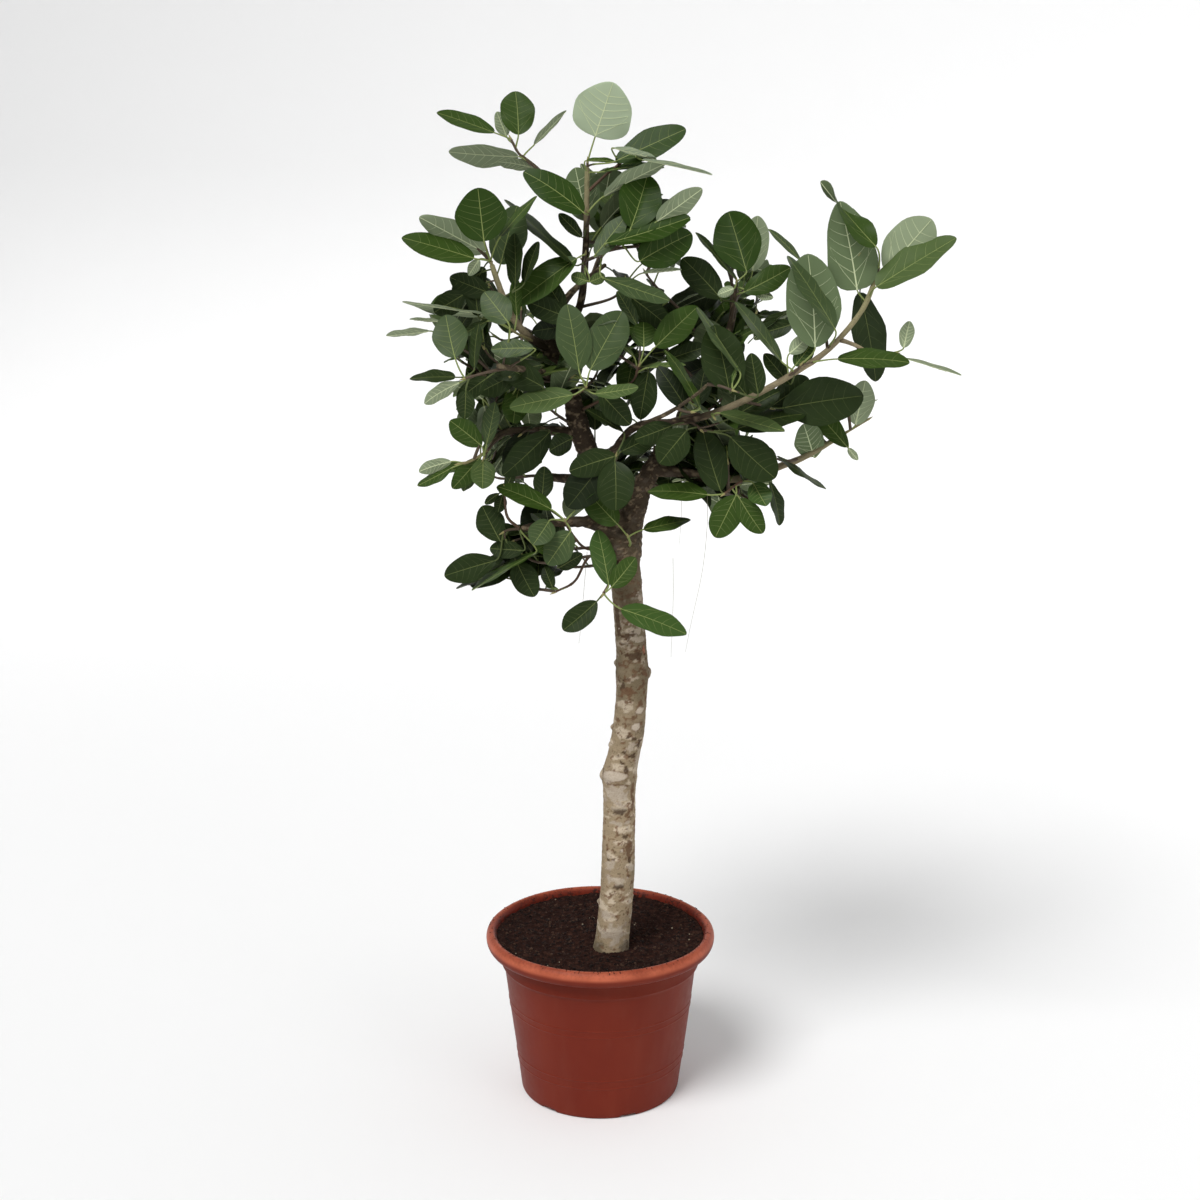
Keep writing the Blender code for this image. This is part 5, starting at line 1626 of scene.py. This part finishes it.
def grow_shoot(crown, piles, tip, rng):
    """One seeded shoot, if it fits: a twig that bends upwards to its tip, with leaves turning round it."""
    start = shoot_start(crown, tip, rng)
    span = np.linalg.norm(tip - start)
    rise = np.array((0.0, 0.0, 1.0))
    out = unit(tip - start)
    path = bezier(start, start + out * span * 0.35, tip - unit(out + rise * 0.8) * span * 0.35, tip, 14)
    path, along = spaced(path, TWIG_STEP)
    ahead, across, over = tube_frames(path)
    count = int(rng.integers(LEAVES_PER_SHOOT[0], LEAVES_PER_SHOOT[1] + 1))
    first = rng.uniform(0, 2 * math.pi)
    # A painted light level for the shoot's leaves, which picks their tints from painted shade upwards
    light = rng.uniform(0, 1)
    leaves = []
    for k in range(count):
        share = k / (count - 1)
        at = along[-1] - min(along[-1] * 0.8, LEAFY_LENGTH) * (1 - share)
        i = int(np.searchsorted(along, at).clip(0, len(along) - 1))
        for attempt in range(TRIES):
            angle = first + k * TURN + attempt * 0.9
            side = math.cos(angle) * across[i] + math.sin(angle) * over[i]
            open_angle = math.radians(OPEN_AT_FOOT - CLOSES_BY * share) + rng.uniform(-0.15, 0.15)
            leaving = math.cos(open_angle) * ahead[i] + math.sin(open_angle) * side
            direction = unit(leaving + side * 0.35 - rise * rng.uniform(0.05, 0.55))
            base = path[i] + unit(leaving + direction * 0.4) * rng.uniform(*PETIOLE_LENGTH)
            length = rng.uniform(*BLADE_LENGTH) * (1 - 0.04 * attempt)
            shape = dealt_shape(rng, length, length * rng.uniform(*BLADE_BREADTH), SEEDED_HABIT)
            if leaf_fits(crown, base, direction, shape):
                break
        else:
            continue
        roll = rng.normal(0, 0.35)
        level = unit(rise - direction * direction[2] + 1e-6)
        normal = math.cos(roll) * level + math.sin(roll) * np.cross(direction, level)
        tint = seeded_tint(light + rng.uniform(-0.25, 0.25), crown.outside(base))
        leaves.append((at, path[i], leaving, base, direction, normal, shape, tint))
    if len(leaves) < FEWEST_LEAVES or not twig_fits(crown, path):
        return False
    for _, foot, leaving, base, direction, normal, shape, tint in leaves:
        add_petiole(piles, foot, leaving, base, direction, tint)
        add_leaf(piles, base, direction, normal, shape, tint)
    # A shoot ends at its last leaf
    nodes = [leaf[0] for leaf in leaves]
    last = int(np.searchsorted(along, max(nodes) + 0.006))
    add_twig(piles, path[: max(last, 8)], nodes, "brown")
    crown.wood.append(path)
    return True


def seeded_tint(value, depth):
    """Leaf tint by spray, with painted shade deep inside the crown."""
    if depth < DEEP_INSIDE:
        value -= INSIDE_PAINTED_SHADE
    return next((tint for limit, tint in SEEDED_TINTS if value < limit), "light")


def grow_seeded_shoots(crown, piles):
    """Fills each foliage mass with shoots grown from the wood near it, each from a seed of its own."""
    for index, name in enumerate(sorted(crown.masses)):
        low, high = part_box(name)
        places = np.random.default_rng((SEED, index))
        wanted = max(2, round(mass_volume(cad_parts[name].data) / SHOOT_ROOM))
        made = 0
        for attempt in range(wanted * SHOOT_TRIES):
            if made == wanted:
                break
            point = places.uniform(low, high)
            place, normal, _, distance = crown.masses[name].find_nearest(Vector(point))
            if (Vector(point) - place).dot(normal) > 0 or distance < TIP_DEPTH:
                continue
            if any(np.linalg.norm(point - tip) < SHOOT_SPACING for tip in crown.tips):
                continue
            if grow_shoot(crown, piles, point, np.random.default_rng((SEED, index, attempt))):
                crown.tips.append(point)
                made += 1


def leaf_materials(name):
    """Upper face, underside, then the midrib and the side veins of each."""
    tint = TINTS[name]
    colours = {
        "upper": (tint.upper, 0.42, 0.13),
        "under": (tint.under, 0.62, 0.12),
        "midrib": (blend(tint.upper, VEIN_COLOUR, tint.midrib), 0.5, 0.15),
        "veins": (blend(tint.upper, VEIN_COLOUR, tint.side), 0.5, 0.2),
        "under_midrib": (blend(tint.under, UNDER_VEIN_COLOUR, tint.midrib), 0.55, 0.2),
        "under_veins": (blend(tint.under, UNDER_VEIN_COLOUR, 0.55 * tint.side), 0.55, 0.15),
    }
    return [new_material(f"leaf_{name}_{part}", *values) for part, values in colours.items()]


def build_crown():
    rng = np.random.default_rng(SEED)
    crown = Crown()
    piles = LeafPiles()
    grow_placed_shoots(crown, piles, rng)
    grow_seeded_shoots(crown, piles)
    masses = sorted(crown.masses)
    for tint in TINTS:
        materials = leaf_materials(tint)
        for i, pile in enumerate(piles.leaves[tint]):
            piece = pile.build(f"leaves_{tint}_{i + 1}", materials)
            finish_piece(piece, masses if tint == "green" and i == 0 else ())
    for name, colour in STALK_TINTS.items():
        material = new_material(f"stalk_{name}", colour, 0.5, 0.25)
        finish_piece(piles.stalks[name].build(f"stalks_{name}", [material]))


def build_roots():
    pile = Pile()
    for points in ROOTS:
        path, along = spaced(smooth_path(points, 10), 0.006)
        radii = ROOT_RADIUS * (1 - 0.5 * along / along[-1])
        pile.add(*tube(path, radii, 5))
    piece = pile.build("hanging_roots", [new_material("root_tint", (0.30, 0.25, 0.20), 0.8, 0.2)])
    finish_piece(piece)


# ---------------------------------------------------------------- studio

COVE_RADIUS = 7.0
COVE_BEND = 2.0
COVE_TOP = 4.5
COVE_STEPS = 96
COVE_BEND_STEPS = 13
WORLD_LIGHT = 0.42
KEY_LIGHT = 2.3
KEY_ANGLE = math.radians(28)
KEY_AIM = (0.45, 0.62, -1.0)
FILL_LIGHT = 16
FILL_SIZE = 2.0
FILL_PLACE = (2.6, -2.6, 2.6)
FILL_AIM = (0.05, 0.0, 1.2)


def add_light(name, kind, power, place, aim):
    light = bpy.data.lights.new(name, kind)
    light.energy = power
    made = bpy.data.objects.new(name, light)
    made.location = place
    made.rotation_euler = (Vector(aim) - Vector(place)).to_track_quat("-Z", "Y").to_euler()
    bpy.context.scene.collection.objects.link(made)
    return light


def build_studio():
    """A pale round floor that curves up into a wall, soft light and the camera."""
    flat = COVE_RADIUS - COVE_BEND
    profile = [(flat, 0.0)]
    for angle in np.linspace(0, math.pi / 2, COVE_BEND_STEPS)[1:]:
        profile.append((flat + COVE_BEND * math.sin(angle), COVE_BEND - COVE_BEND * math.cos(angle)))
    profile.append((COVE_RADIUS, COVE_TOP))
    turn = np.linspace(0, 2 * math.pi, COVE_STEPS, endpoint=False)
    points = [around(radius, angle, height) for radius, height in profile for angle in turn]
    faces = [face[::-1] for face in lathe_faces(len(profile), COVE_STEPS, False)]
    faces += [(j, (j + 1) % COVE_STEPS, len(points)) for j in range(COVE_STEPS)]
    pile = Pile()
    pile.add([*points, (0.0, 0.0, 0.0)], faces)
    pile.build("studio_floor", [new_material("studio_pale", (0.88, 0.88, 0.88), 0.9, 0.1)])

    scene = bpy.context.scene
    scene.world = bpy.data.worlds.new("studio")
    scene.world.use_nodes = True
    background = scene.world.node_tree.nodes["Background"]
    background.inputs["Color"].default_value = (1.0, 1.0, 1.0, 1.0)
    background.inputs["Strength"].default_value = WORLD_LIGHT
    key = add_light("key_light", "SUN", KEY_LIGHT, (0.0, 0.0, 0.0), KEY_AIM)
    key.angle = KEY_ANGLE
    fill = add_light("fill_light", "AREA", FILL_LIGHT, FILL_PLACE, FILL_AIM)
    fill.shape = "DISK"
    fill.size = FILL_SIZE

    camera = bpy.data.cameras.new("camera")
    camera.lens = CAMERA_LENS
    camera.sensor_width = SENSOR
    holder = bpy.data.objects.new("camera", camera)
    holder.location = CAMERA_PLACE
    holder.rotation_euler = (math.pi / 2 - CAMERA_DIP, 0.0, 0.0)
    scene.collection.objects.link(holder)
    scene.camera = holder
    scene.view_settings.view_transform = "Standard"


bark = bark_material()
build_pot()
build_soil()
build_crumbs(np.random.default_rng(SEED + 1))
build_bark(bark, np.random.default_rng(SEED + 2))
build_limbs(bark)
build_crown()
build_roots()
build_studio()
